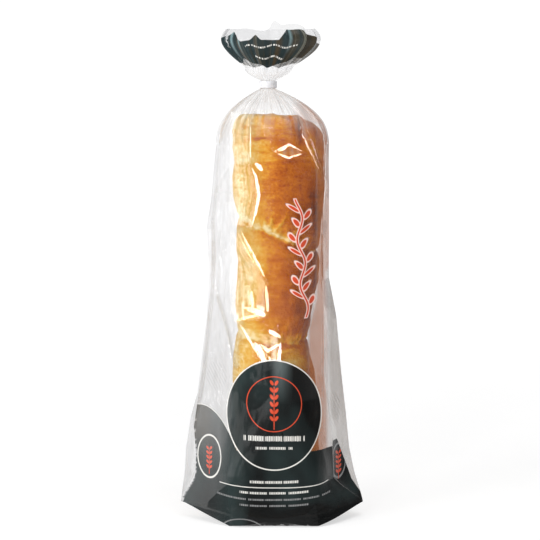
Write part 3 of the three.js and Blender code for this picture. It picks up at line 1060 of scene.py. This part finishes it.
slack = np.full(rows.shape[:2], float(SLACK_REACH))
for row in range(len(under), len(rows)):
    if row_height[row] > LOAF_REACH_Z:
        break
    for column in range(ROUND):
        film_points[row, column], slack[row, column] = held_off(film_points[row, column])
print("points of film on the loaf:", int((slack <= CLEARANCE).sum()), "of", slack.size)

# %% The sheet as a mesh
clear_selection()
bpy.ops.mesh.primitive_grid_add(x_subdivisions=ROUND, y_subdivisions=len(rows) - 1, size=1)
film = bpy.context.object
film.name = "bag_film"
film.data.name = "bag_film"
flat_sheet = points_of(film) * MM
column = np.rint((flat_sheet[:, 0] + 0.5) * ROUND).astype(int)
level = np.rint((flat_sheet[:, 1] + 0.5) * (len(rows) - 1)).astype(int)
place_points(film, film_points[level, column % ROUND])
on_back = (column >= PANEL_STEPS + GUSSET_STEPS) & (column <= 2 * PANEL_STEPS + GUSSET_STEPS)
sheet_values = {
    "slack": np.clip(slack / SLACK_REACH, 0, 1),
    "glint": glint_depths(film_points),
    "veil": facet_veil(film_points),
    "shade": fold_shade(film_points),
}
keep_attribute(film, "front", column <= PANEL_STEPS)
keep_attribute(film, "back", on_back)
keep_attribute(film, "round", column / ROUND)
for name, values in sheet_values.items():
    keep_attribute(film, name, values[level, column % ROUND])
bpy.ops.object.mode_set(mode="EDIT")
bpy.ops.mesh.select_all(action="SELECT")
bpy.ops.mesh.remove_doubles(threshold=0.01 * MM)
bpy.ops.object.mode_set(mode="OBJECT")
bpy.ops.object.shade_smooth_by_angle(angle=math.radians(40))
print("film:", len(film.data.polygons), "faces,", len(film.data.vertices), "points")

# %% [markdown]
# Clear film is nearly all transparency. What is seen of it is its reflections, which are faint face on and
# strong at a glancing angle, and a haze where it is slack, gathered or crumpled. So its shader mixes a
# Transparent shader with a Principled one, and the share of the second is worked out from the angle and the
# haze. A glint turns the film's face to the light, and a veil turns it to the window. Some of the haze is
# painted light: a painted reflection of the window at the left, painted shade that adds to the right
# gusset's own haze, and a painted reflection of the crust in the film beside the loaf. The print is ink on
# the same film: fields of dark ink and simple pale and orange shapes. Each shape is a distance in
# millimetres from its edge, less than zero inside, and a steep step turns it into a mask.

# %% Film
FILM_TINT = (0.965, 0.965, 0.97, 1)
FILM_NOISES = {"crinkle": (0.12, 0.12, 0.03), "fine": (0.5, 0.5, 0.15), "crumple": (0.05, 0.05, 0.09)}
FILM_RELIEF = {"pleat": 1.2, "crumple": 9, "fine": 0.2, "height": 0.0003, "strength": 0.5}
FACE_ON = 0.013
GLINT_FACE = (-0.199, -0.972, 0.124)
GLINT_SHARE = 0.07
WINDOW_FACE = (-0.411, -0.899, 0.150)
VEIL_SHARE = {"mirror": 0.26, "haze": 0.3}
VEIL_CREAM = srgb(255, 238, 200)
# Of these haze shares, the left one is a painted reflection of the window in the film at the left, the right
# one adds painted shade to the right gusset's own haze, and the warm one is a painted reflection of the
# crust.
HAZE = {"tight": 0.002, "slack": 0.025, "crinkle": 0.11, "left": 0.06, "low": 0.10, "right": 0.40,
        "gather": 0.24, "rim": 0.16, "warm": 0.45}
HAZE_GREY = srgb(166, 166, 167)
HAZE_PALE = srgb(226, 225, 224)
CRUST_REFLECTION_TINT = srgb(176, 106, 52)
HAZE_SHADE = srgb(142, 132, 112)
SIDE_SHADE_AND_CRUST_TINT = srgb(148, 134, 120)
# Where the effects start and end: each place has the stretch in millimetres over which the effect changes.
AT_FOOT = (34, 26)
AT_NECK = ((380, 30), (472, 12))
GATHERED = ((374, 50), (472, 20))
PALE_UP = ((370, 30), (476, 6))
LOW_DOWN = (260, 200)
TO_LEFT = (0, 40)
CLEAR_MARGIN = (468, 12)
AT_RIM = (472, 6)
SHADED_RIGHT_GUSSET = {"x": (54, 6), "z": (258, 10)}
CRUST_REFLECTION_SIDE = {"left": (42, 3.5), "left_moves": 7.5, "left_low": (225, 30), "right": (66, 6), "right_moves": 7,
             "right_low": (262, 16), "top": (410, 40)}
CRUST_REFLECTION_TOP = {"x": (18, 12), "z": ((390, 8), (426, 12)), "share": 0.55}
THIN_INK = {"x": (-38, 14), "z": (200, 60), "less": 0.55, "more": 0.8, "more_z": (55, 50), "share": 0.2}


def film_surface(film, spot, z):
    """The film's crinkles and pleats, where it glints, and the normal that they give it."""
    crinkle = film.noise(film.stretched(spot, *FILM_NOISES["crinkle"]), 1, 4, 0.6)
    fine = film.noise(film.stretched(spot, *FILM_NOISES["fine"]), 1, 2)
    crumple = film.noise(film.stretched(spot, *FILM_NOISES["crumple"]), 1, 3) * z.falls(*AT_FOOT)
    round_pack = film.node("ShaderNodeCombineXYZ", None, {"X": film.attribute("round") * 90, "Y": z * 0.012})
    pleat = film.noise(round_pack, 1, 3)
    at_neck = z.within(*AT_NECK)
    relief = abs(crinkle - 0.5) * 2 * (1 - at_neck) + FILM_RELIEF["pleat"] * pleat * at_neck
    relief = relief + FILM_RELIEF["crumple"] * crumple + FILM_RELIEF["fine"] * fine
    normal = film.bump(relief, FILM_RELIEF["height"], FILM_RELIEF["strength"])
    glint = (0.5 + 1.4 * film.attribute("glint")).clamped() * crinkle.over(0.2, 7)
    in_veil = (film.attribute("veil") * 20).clamped()
    for mask, face in ((in_veil * 0.8, WINDOW_FACE), (glint, GLINT_FACE)):
        normal = film.node("ShaderNodeMix", {"data_type": "VECTOR"}, {0: mask, 4: normal, 5: face}, 1)
    return crinkle, pleat, glint, normal


def painted_crust_reflection(x, z):
    """Where a painted reflection of the crust tints the film at the right side and over the right of the
    crown.
    """
    left_moves = CRUST_REFLECTION_SIDE["left_moves"] * z.falls(*CRUST_REFLECTION_SIDE["left_low"])
    right_moves = CRUST_REFLECTION_SIDE["right_moves"] * z.falls(*CRUST_REFLECTION_SIDE["right_low"])
    side = (x + left_moves).rises(*CRUST_REFLECTION_SIDE["left"]) * (x + right_moves).falls(*CRUST_REFLECTION_SIDE["right"])
    top = x.rises(*CRUST_REFLECTION_TOP["x"]) * z.within(*CRUST_REFLECTION_TOP["z"])
    return (side * z.falls(*CRUST_REFLECTION_SIDE["top"])).most(CRUST_REFLECTION_TOP["share"] * top)


def film_haze(film, x, z, crinkle, pleated, veil, glint):
    """How hazy the film is, and the colour of its haze, painted shade and painted reflections included."""
    low = z.falls(*LOW_DOWN)
    loose = HAZE["slack"] + HAZE["crinkle"] * crinkle.over(0.42, 4)
    loose = loose + HAZE["left"] * x.falls(*TO_LEFT) + HAZE["low"] * low
    margin = 1 - 0.85 * z.rises(*CLEAR_MARGIN)
    # warm is a painted reflection of the crust in the film beside the loaf.
    warm = painted_crust_reflection(x, z)
    # right: the tucked gusset's extra layers of film, partly painted shade, greyed and browned as a painted
    # reflection of the crust.
    right = x.rises(*SHADED_RIGHT_GUSSET["x"]) * z.falls(*SHADED_RIGHT_GUSSET["z"]) * (1.15 - 0.72 * low)
    shade = film.attribute("shade")
    haze = HAZE["tight"] + film.attribute("slack") * loose * margin
    haze = haze + HAZE["gather"] * z.within(*GATHERED) * (0.3 + 1.3 * pleated)
    haze = haze + HAZE["warm"] * warm + HAZE["right"] * right
    haze = haze + VEIL_SHARE["haze"] * veil + HAZE["rim"] * z.rises(*AT_RIM)
    haze = haze * (1 - 0.8 * glint) + shade
    pale = z.within(*PALE_UP).most((veil * 20).clamped())
    # The haze takes the crust's brown where the reflection of the crust is painted.
    colour = film.blend(warm, film.blend(pale, HAZE_GREY, HAZE_PALE), CRUST_REFLECTION_TINT)
    colour = film.blend((right * 2).clamped() * (1 - warm), colour, SIDE_SHADE_AND_CRUST_TINT)
    return haze, film.blend((shade * 3).clamped(), colour, HAZE_SHADE)


def film_finish(name, print_shapes=None):
    """A film material. print_shapes gives its ink as (mask, colour) pairs, the lowest first."""
    film = Finish(bpy.data.materials.new(name))
    spot = film.place()
    x, y, z = film.axes(spot)
    crinkle, pleat, glint, normal = film_surface(film, spot, z)
    pleated = pleat.over(0.40, 5)
    veil = film.attribute("veil") * (0.15 + 1.5 * pleated)
    facing = film.node("ShaderNodeLayerWeight", None, {"Blend": 0.5, "Normal": normal}, "Facing")
    mirror = FACE_ON + GLINT_SHARE * glint + VEIL_SHARE["mirror"] * veil + (1 - FACE_ON) * facing ** 5
    haze, dull = film_haze(film, x, z, crinkle, pleated, veil, glint)
    factor = (mirror + haze).clamped()
    metal = mirror / (mirror + haze)
    shiny = film.blend((film.attribute("veil") * 20).clamped(), (1, 1, 1, 1), VEIL_CREAM)
    colour = film.blend(metal, dull, shiny)
    roughness = 0.07
    inks = print_shapes(film, x, y, z) if print_shapes else []
    for mask, ink in inks:
        colour = film.blend(mask, colour, ink)
    if inks:
        cover = joined([mask for mask, ink in inks])
        thin = x.falls(*THIN_INK["x"]) * z.falls(*THIN_INK["z"])
        thin = thin * (THIN_INK["less"] + THIN_INK["more"] * z.rises(*THIN_INK["more_z"]))
        factor = factor + cover * (0.99 - THIN_INK["share"] * thin - factor)
        metal = metal * (1 - cover)
        roughness = roughness + 0.17 * cover
    level = 0.12 if inks else 0.2
    gloss = film.glossy(colour, roughness, Metallic=metal, Specular_IOR_Level=level, Normal=normal)
    through = film.node("ShaderNodeBsdfTransparent", None, {"Color": FILM_TINT})
    return film.show(film.node("ShaderNodeMixShader", None, {0: factor, 1: through, 2: gloss}))


# %% Ink and shapes
EDGE_BLUR = 0.45
WORD_STROKE = 1.7
DARK_INK = srgb(10, 12, 12)
TEAL_INK = srgb(34, 46, 46)
PAINTED_DISC_REFLECTION = srgb(96, 106, 106)
FRILL_TEAL = srgb(30, 44, 46)
FRILL_OLIVE = srgb(62, 54, 40)
FRILL_PAINTED_SHEEN = srgb(112, 114, 104)
FRILL_PAINTED_HIGHLIGHT = srgb(140, 168, 172)
PALE_INK = srgb(226, 224, 218)
ORANGE_INK = srgb(206, 76, 48)
PINK_INK = srgb(240, 200, 188)
GREY_INK = srgb(140, 140, 140)


def inside(distance):
    """1 within a shape and 0 outside, from the distance to its edge in millimetres."""
    return (0.5 - distance / EDGE_BLUR).clamped()


def ellipse(x, z, centre, radii):
    across, up = (x - centre[0]) / radii[0], (z - centre[1]) / radii[1]
    return ((across * across + up * up) ** 0.5 - 1) * min(radii)


def box_shape(x, z, centre, half, corner=0.0):
    """The distance to a rectangle's nearest side, with its corners eased."""
    across = abs(x - centre[0]) - (half[0] - corner)
    up = abs(z - centre[1]) - (half[1] - corner)
    outer = (across.most(0) ** 2 + up.most(0) ** 2) ** 0.5
    return outer + across.most(up).least(0) - corner


def sprig(x, z, place, foot, top, step, size=1.0):
    """A stem with pairs of slanted grains up it."""
    middle, half = (foot + top) / 2, (top - foot) / 2
    beside = abs(x - place)
    along_stem = (z - foot).repeated(step) - step * 0.34
    grain = ellipse(beside, along_stem - beside * 0.7, (2.3 * size, 0), (1.9 * size, 2.1 * size))
    stem = (beside - 0.45 * size).most(abs(z - middle + step) - half)
    return grain.most(abs(z - middle) - half).least(stem)


def word_rows(film, x, z, rows_of_words, middle=2.0):
    """Rows of pale bars of uneven length, where a pack has its small print."""
    strokes = abs(x.repeated(WORD_STROKE) - WORD_STROKE / 2) - 0.33 * WORD_STROKE
    masks = []
    for number, (height, half, thick) in enumerate(rows_of_words):
        lengths = film.noise_along(x * 0.22 + 7.3 * number)
        heights_of = film.noise_along(x * 0.9 + 3.1 * number)
        row = (abs(z - height) - thick * (0.6 + heights_of)).most(abs(x - middle) - half)
        masks.append(inside(row.most((0.42 - lengths) * 8).most(strokes)))
    return joined(masks)


# %% The print on the front
DISC = ((2, 111), (46.5, 53.7))
DISC_OUTLINE = 1.0
DISC_REFLECTION_BAND = {"x": 9, "half": 12, "z": (122, 40), "share": 0.8}
BASE_TOP_Z = 75
WAVE = {"peak": (-72, 118), "bend": 0.0313, "line_x": -36, "line_half": 0.4}
SIDE_X = 55
SIDE_WAVE = [(65.7, 78.6, -2.75), (79.6, 38.5, -1.4)]
BADGES = [((-62.5, 66.6), (11.7, 21)), ((67.3, 57), (7.5, 16.4))]
BADGE_SPRIG = {"below": 13, "above": 11, "step": 4.6, "size": 0.7}
RULE = {"z": 39, "bend": 0.00135, "half": 54, "centre": 2}
WORD_BEND = 0.0016
WORD_ROWS = [(44.5, 24, 1.1), (33.6, 34, 0.95)]
SMALL_ROWS = [(27, 56, 0.75), (21, 34, 0.75)]
DISC_ROWS = [(88, 30, 2.2), (78.5, 18, 1.1)]
HATCHES = [((-55, 147), (10.5, 14)), ((64, 107), (6, 15))]
HATCH = {"step": 2.6, "half": 0.3, "share": 0.3}
UNDER_FOLD = ((-30, -3), (20, 11))
HEM = {"rise": 10, "x": 14, "half": 26}
SPRIG = {"x": 2, "foot": 104, "top": 146, "step": 7.0, "ring": (2, 122), "ring_radius": 27}


def front_ink(film, x, z, disc):
    """The dark ink's colour with painted light and shade: black to teal in patches, more teal towards the
    left as painted light, black on the folded bottom as painted shade, an olive painted reflection on the
    flap at the left, and a painted reflection on the disc.
    """
    tone = film.noise(film.stretched(film.place(), 0.02, 0.02, 0.012), 1, 2)
    # Painted shade: the folded bottom at the right goes black. Painted light: more teal towards the left.
    folded = z.falls(26, 18) * x.rises(-30, 20)
    ink = film.blend(((tone - 0.4) * 4 + (0 - x) * 0.009 - folded).clamped(), DARK_INK, TEAL_INK)
    # Painted reflection: an olive tint on the flap at the far left.
    ink = film.blend(x.falls(-56, 10) * z.rises(70, 20) * 0.6, ink, FRILL_OLIVE)
    # Painted reflection: a soft pale band down the upper part of the disc.
    shine = (1 - abs(x - DISC_REFLECTION_BAND["x"]) / DISC_REFLECTION_BAND["half"]).clamped() * z.rises(*DISC_REFLECTION_BAND["z"])
    return film.blend(shine * inside(disc) * DISC_REFLECTION_BAND["share"], ink, PAINTED_DISC_REFLECTION)


def hatching(x, z, front):
    """Slanted fine lines in two faint patches beside the disc."""
    lines = inside(abs((x * 0.9 + z * 0.45).repeated(HATCH["step"]) - HATCH["step"] / 2) - HATCH["half"])
    left, right = (inside(ellipse(x, z, *patch)) for patch in HATCHES)
    return (left * front).most(right) * lines * HATCH["share"]


def badge_sprig(x, z, centre):
    low, high = centre[1] - BADGE_SPRIG["below"], centre[1] + BADGE_SPRIG["above"]
    return inside(sprig(x, z, centre[0], low, high, BADGE_SPRIG["step"], BADGE_SPRIG["size"]))


def front_print(film, x, y, z):
    """A dark base with a disc and two badges, their pale lines and bars, and a sprig in each."""
    front = film.attribute("front")
    disc = ellipse(x, z, *DISC)
    from_peak = (x - WAVE["peak"][0]).most(0)
    base = z - (WAVE["peak"][1] - WAVE["bend"] * from_peak * from_peak).most(BASE_TOP_Z)
    side_tops = [top + slope * (x - start) for start, top, slope in SIDE_WAVE]
    side = (z - side_tops[0].most(side_tops[1])).most(z - SIDE_WAVE[0][1])
    side_field = inside(side) * inside(SIDE_X - x) * (1 - film.attribute("back")) * (1 - front)
    badges = [abs(ellipse(x, z, *place)) for place in BADGES]
    from_rule = x - RULE["centre"]
    rule = abs(z - RULE["z"] - RULE["bend"] * from_rule * from_rule) - 0.4
    lifted = z - WORD_BEND * x * x
    pale = joined([
        inside((disc - DISC_OUTLINE).most(0 - disc)),
        inside(abs(base) - WAVE["line_half"]) * inside(x - WAVE["line_x"]) * inside(0 - disc),
        inside(badges[0] - 0.5),
        inside(rule.most(abs(from_rule) - RULE["half"])),
        word_rows(film, x, lifted, WORD_ROWS),
        word_rows(film, x, z, DISC_ROWS),
    ])
    under_fold = inside(abs(ellipse(x, z, *UNDER_FOLD)) - 0.5) * 0.7
    hem = z - HEM["rise"] * (film.noise_along(x * 0.16, 3) - 0.38)
    grey = joined([
        word_rows(film, x, lifted, SMALL_ROWS).most(under_fold) * front,
        inside(badges[1] - 0.45) * side_field,
        inside(hem) * inside(abs(x - HEM["x"]) - HEM["half"]) * inside(y + 2) * 0.8,
    ])
    ring = abs(ellipse(x, z, SPRIG["ring"], (SPRIG["ring_radius"],) * 2)) - 0.45
    wheat = sprig(x, z, SPRIG["x"], SPRIG["foot"], SPRIG["top"], SPRIG["step"])
    left_sprig, right_sprig = (badge_sprig(x, z, centre) for centre, radii in BADGES)
    return [
        (hatching(x, z, front), GREY_INK),
        ((inside(base.least(disc)) * front).most(side_field), front_ink(film, x, z, disc)),
        (pale * front, PALE_INK),
        (grey, GREY_INK),
        ((inside(ring.least(wheat)).most(left_sprig) * front).most(right_sprig * side_field), ORANGE_INK),
    ]


# %% The vine on the front
VINE = {"top": (25, 324), "bottom": (33, 206), "wave": 44.0, "sway": 3.2, "core": 0.75, "outline": 0.95}
LEAF = {"step": 14.0, "each_side": 7, "out": 5.4, "long": 4.8, "broad": 1.75}


def vine_print(film, x, y, z):
    """A climbing vine: a waving stem with a leaf in each bend, orange with a pale edge."""
    top, bottom = Vector(VINE["top"]), Vector(VINE["bottom"])
    climb = (top - bottom).normalized()
    half_vine, half_leaves = (top - bottom).length / 2, LEAF["step"] * LEAF["each_side"] / 2
    dx, dz = x - bottom.x, z - bottom.y
    along_vine = dx * climb.x + dz * climb.y
    turns = along_vine * (2 * math.pi / VINE["wave"])
    off_stem = dx * climb.y - dz * climb.x - VINE["sway"] * turns.math("SINE")
    steep = VINE["sway"] * 2 * math.pi / VINE["wave"] * turns.math("COSINE")
    vine = abs(off_stem) / (1 + steep * steep) ** 0.5 - VINE["core"]
    for side in (-1, 1):
        shifted = along_vine + side * LEAF["step"] / 4
        up = shifted.repeated(LEAF["step"]) - LEAF["step"] / 2
        out = side * off_stem - LEAF["out"]
        slanted = ((out + up) * math.sqrt(0.5), (up - out) * math.sqrt(0.5))
        leaf = ellipse(*slanted, (0, 0), (LEAF["long"], LEAF["broad"]))
        vine = vine.least(leaf.most(abs(shifted - LEAF["step"] - half_leaves) - half_leaves))
    ends = abs(along_vine - half_vine) - half_vine
    front = film.attribute("front")
    return [
        (inside((vine - VINE["outline"]).most(ends)) * front, PINK_INK),
        (inside(vine.most(ends + VINE["outline"])) * front, ORANGE_INK),
    ]


# %% The print on the frill and the back
CUFF = {
    "bottom": 440,
    "span": 60,
    "low": [(0, 456), (0.038, 460), (0.084, 455), (0.139, 454), (0.176, 450.5), (0.239, 454), (0.293, 456.5),
            (0.31, 461), (0.40, 460), (0.44, 456), (0.55, 456), (0.62, 452), (0.70, 456), (0.80, 452),
            (0.90, 456), (1, 456)],
    "high": [(0, 482), (0.03, 486), (0.076, 476), (0.113, 477), (0.142, 482), (0.158, 477), (0.218, 477),
             (0.253, 488), (0.30, 488), (0.415, 476), (0.50, 474), (0.60, 470), (0.68, 475), (0.78, 470),
             (0.88, 474), (1, 482)],
    "marks": [(471, 0.1, 0), (460.5, 0.07, 31)],
    # streaks: painted highlights along a few folds, each as (share round, half width, height where it
    # starts).
    "streaks": [(0.022, 0.013, 460), (0.066, 0.007, 462), (0.262, 0.010, 464)],
}
BACK_FIELD = {"top": 36, "bend": 0.0065}
LABEL = {"centre": (0, 232), "half": (32, 44), "corner": 5}
LABEL_ROWS = [(264 - 7 * k, 25 - 3 * (k % 3), 1.3) for k in range(10)]


def edge_line(film, around, stops):
    """A ragged edge round the frill, from (share of the way round, height in mm) corners."""
    low, span = CUFF["bottom"], CUFF["span"]
    greys = [(at, (*[(height - low) / span] * 3, 1)) for at, height in stops]
    return film.ramp(around, greys) * span + low


def cuff_print(film, x, y, z):
    """Dark ink round the frill between two ragged edges, with pale marks, painted sheen and painted
    highlights along a few folds.
    """
    around = film.attribute("round")
    low, high = edge_line(film, around, CUFF["low"]), edge_line(film, around, CUFF["high"])
    field = inside((low - z).most(z - high))
    cast = ((film.noise_along(around * 26, 2) - 0.45) * 6 + x * 0.012).clamped()
    # Painted sheen: pale bands round the frill, stronger towards the right.
    sheen = film.noise_along(around * 44 + 5, 2).over(0.57, 9) * (0.5 + x * 0.012).clamped()
    marks = []
    for height, span, seed in CUFF["marks"]:
        waves = height + 1.4 * (around * 70 + seed).math("SINE")
        dashes = film.noise_along(around * 170 + seed)
        row = (abs(z - waves) - 0.7).most((0.5 - dashes) * 8).most((abs(around - 0.19) - span) * 200)
        marks.append(inside(row))
    # Painted highlights along a few folds of the frill.
    streaks = [(1 - abs(around - place) / half).clamped() * z.rises(from_z, 16)
               for place, half, from_z in CUFF["streaks"]]
    cloth = film.blend(sheen, film.blend(cast, FRILL_TEAL, FRILL_OLIVE), FRILL_PAINTED_SHEEN)
    cloth = film.blend(joined(streaks) * 0.75, cloth, FRILL_PAINTED_HIGHLIGHT)
    return [(field, cloth), (joined(marks) * field, PALE_INK)]


def back_print(film, x, y, z):
    """A low dark field and a plain label with bars."""
    back = film.attribute("back")
    field = inside(z - BACK_FIELD["top"] + BACK_FIELD["bend"] * x * x) * back
    label = inside(box_shape(x, z, LABEL["centre"], LABEL["half"], LABEL["corner"])) * back
    words = word_rows(film, x, z, LABEL_ROWS, LABEL["centre"][0]) * label
    return [(field, DARK_INK), (label, PALE_INK), (words, GREY_INK)]


FINISHES = [
    film_finish("clear_film"),
    film_finish("film_front", front_print),
    film_finish("film_vine", vine_print),
    film_finish("film_frill", cuff_print),
    film_finish("film_back", back_print),
]
for finish in FINISHES:
    film.data.materials.append(finish)

# Each face of the film shows one finish, by its number in that list.
centres = np.empty(len(film.data.polygons) * 3)
film.data.polygons.foreach_get("center", centres)
cx, cy, cz = centres.reshape(-1, 3).T / MM
kind = np.zeros(len(film.data.polygons), int)
kind[(cz < 172) & ((cy < -4) | (cx > 50))] = 1
kind[(cy < -20) & (cz > 196) & (cz < 336) & (cx > 8) & (cx < 54)] = 2
kind[cz > 446] = 3
kind[(cy > 4) & (cz < 42) & (cx < 50)] = 4
kind[(cy > 25) & (abs(cx) < 36) & (cz > 184) & (cz < 280)] = 4
film.data.polygons.foreach_set("material_index", kind)
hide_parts("bag")
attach(film, "root")
print("faces for each film finish:", np.bincount(kind, minlength=5), "nodes:",
      [len(finish.node_tree.nodes) for finish in FINISHES])

# %% [markdown]
# The tie is a flat band of whitish plastic. The CAD ring is right in shape, so it stays and only gets its
# finish: a satin white with fine lines round it and a little unevenness in its gloss.

# %% Neck band
def band_finish():
    band = Finish(bpy.data.materials.new("whitish_band"))
    spot = band.place()
    x, y, z = band.axes(spot)
    lines = (z * 4.2).math("SINE")
    mottle = band.noise(spot, 0.35, 3)
    colour = band.ramp(mottle, [(0.3, srgb(217, 218, 222)), (0.7, srgb(233, 233, 237))])
    roughness = (0.28 + 0.2 * mottle).clamped()
    return band.show(band.glossy(colour, roughness, Normal=band.bump(lines * 0.5 + mottle, 0.0003, 0.5)))


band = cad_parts["neck_band"]
band.data.materials.clear()
band.data.materials.append(band_finish())
print("band finish on", band.name)

# %% [markdown]
# The photo has a pure white ground and even light. The floor is a wide pale disc, the world behind it is
# white, and it darkens towards the camera's side so that the film has something dark to reflect there. A
# tall soft light and a narrow one stand at the left front, where the photo's highlights come from, and a
# soft one hangs above. The floor glows a little, more so further away, until it meets the white behind.

# %% Floor, lights and world
FLOOR_RADIUS = 9
FLOOR_GLOW = {"near": 0.62, "far": 0.9, "from_mm": 400, "to_mm": 2600}
LIGHTS = table(
    "name at size watts",
    ("window_softbox", (-1.25, -1.05, 0.55), (0.6, 1.2), 13),
    ("strip_light", (-0.62, -1.5, 0.5), (0.12, 1.1), 6),
    ("top_softbox", (0.25, -0.5, 1.7), (0.9, 0.9), 10),
)
PACK_MIDDLE = Vector((0, 0, 0.25))

clear_selection()
bpy.ops.mesh.primitive_circle_add(vertices=96, radius=FLOOR_RADIUS, fill_type="NGON")
floor = bpy.context.object
floor.name = "floor"
ground = Finish(bpy.data.materials.new("pale_floor"))
speckle = ground.noise(ground.place(), 0.02, 2)
paper = ground.ramp(speckle, [(0, srgb(180, 180, 180)), (1, srgb(184, 184, 184))])
distance = ground.node("ShaderNodeVectorMath", {"operation": "LENGTH"}, {0: ground.place()}, "Value")
away = (distance - FLOOR_GLOW["from_mm"]) / (FLOOR_GLOW["to_mm"] - FLOOR_GLOW["from_mm"])
glow = ground.ramp(away, [(0, (*[FLOOR_GLOW["near"]] * 3, 1)), (1, (*[FLOOR_GLOW["far"]] * 3, 1))])
matt = ground.glossy(paper, 0.9, Specular_IOR_Level=0, Emission_Color=glow, Emission_Strength=1)
floor.data.materials.append(ground.show(matt))

for lamp in LIGHTS:
    bpy.ops.object.light_add(type="AREA", location=lamp["at"])
    light = bpy.context.object
    light.name = lamp["name"]
    light.data.shape = "RECTANGLE"
    light.data.size, light.data.size_y = lamp["size"]
    light.data.energy = lamp["watts"]
    light.rotation_euler = (PACK_MIDDLE - light.location).to_track_quat("-Z", "Y").to_euler()
print("lights:", [lamp["name"] for lamp in LIGHTS])

# %% World
WORLD = {"front": 0.16, "left": 0.45, "above": 0.3, "backdrop": 1.08, "edge": (0.80, 0.13)}

sky = Finish(bpy.data.worlds.new("studio"), "ShaderNodeOutputWorld")
to_right, to_back, to_top = sky.axes(sky.node("ShaderNodeTexCoord", output="Generated"))
room = WORLD["front"] + WORLD["left"] * (0 - to_right).clamped() + WORLD["above"] * to_top.clamped()
brightness = room + to_back.rises(*WORLD["edge"]) * (WORLD["backdrop"] - room)
light_from_sky = sky.node("ShaderNodeBackground", None, {"Color": (1, 1, 1, 1), "Strength": brightness})
bpy.context.scene.world = sky.show(light_from_sky)
bpy.context.scene.view_settings.view_transform = "Standard"
bpy.context.scene.cycles.transparent_max_bounces = 32
print("world nodes:", len(sky.tree.nodes))
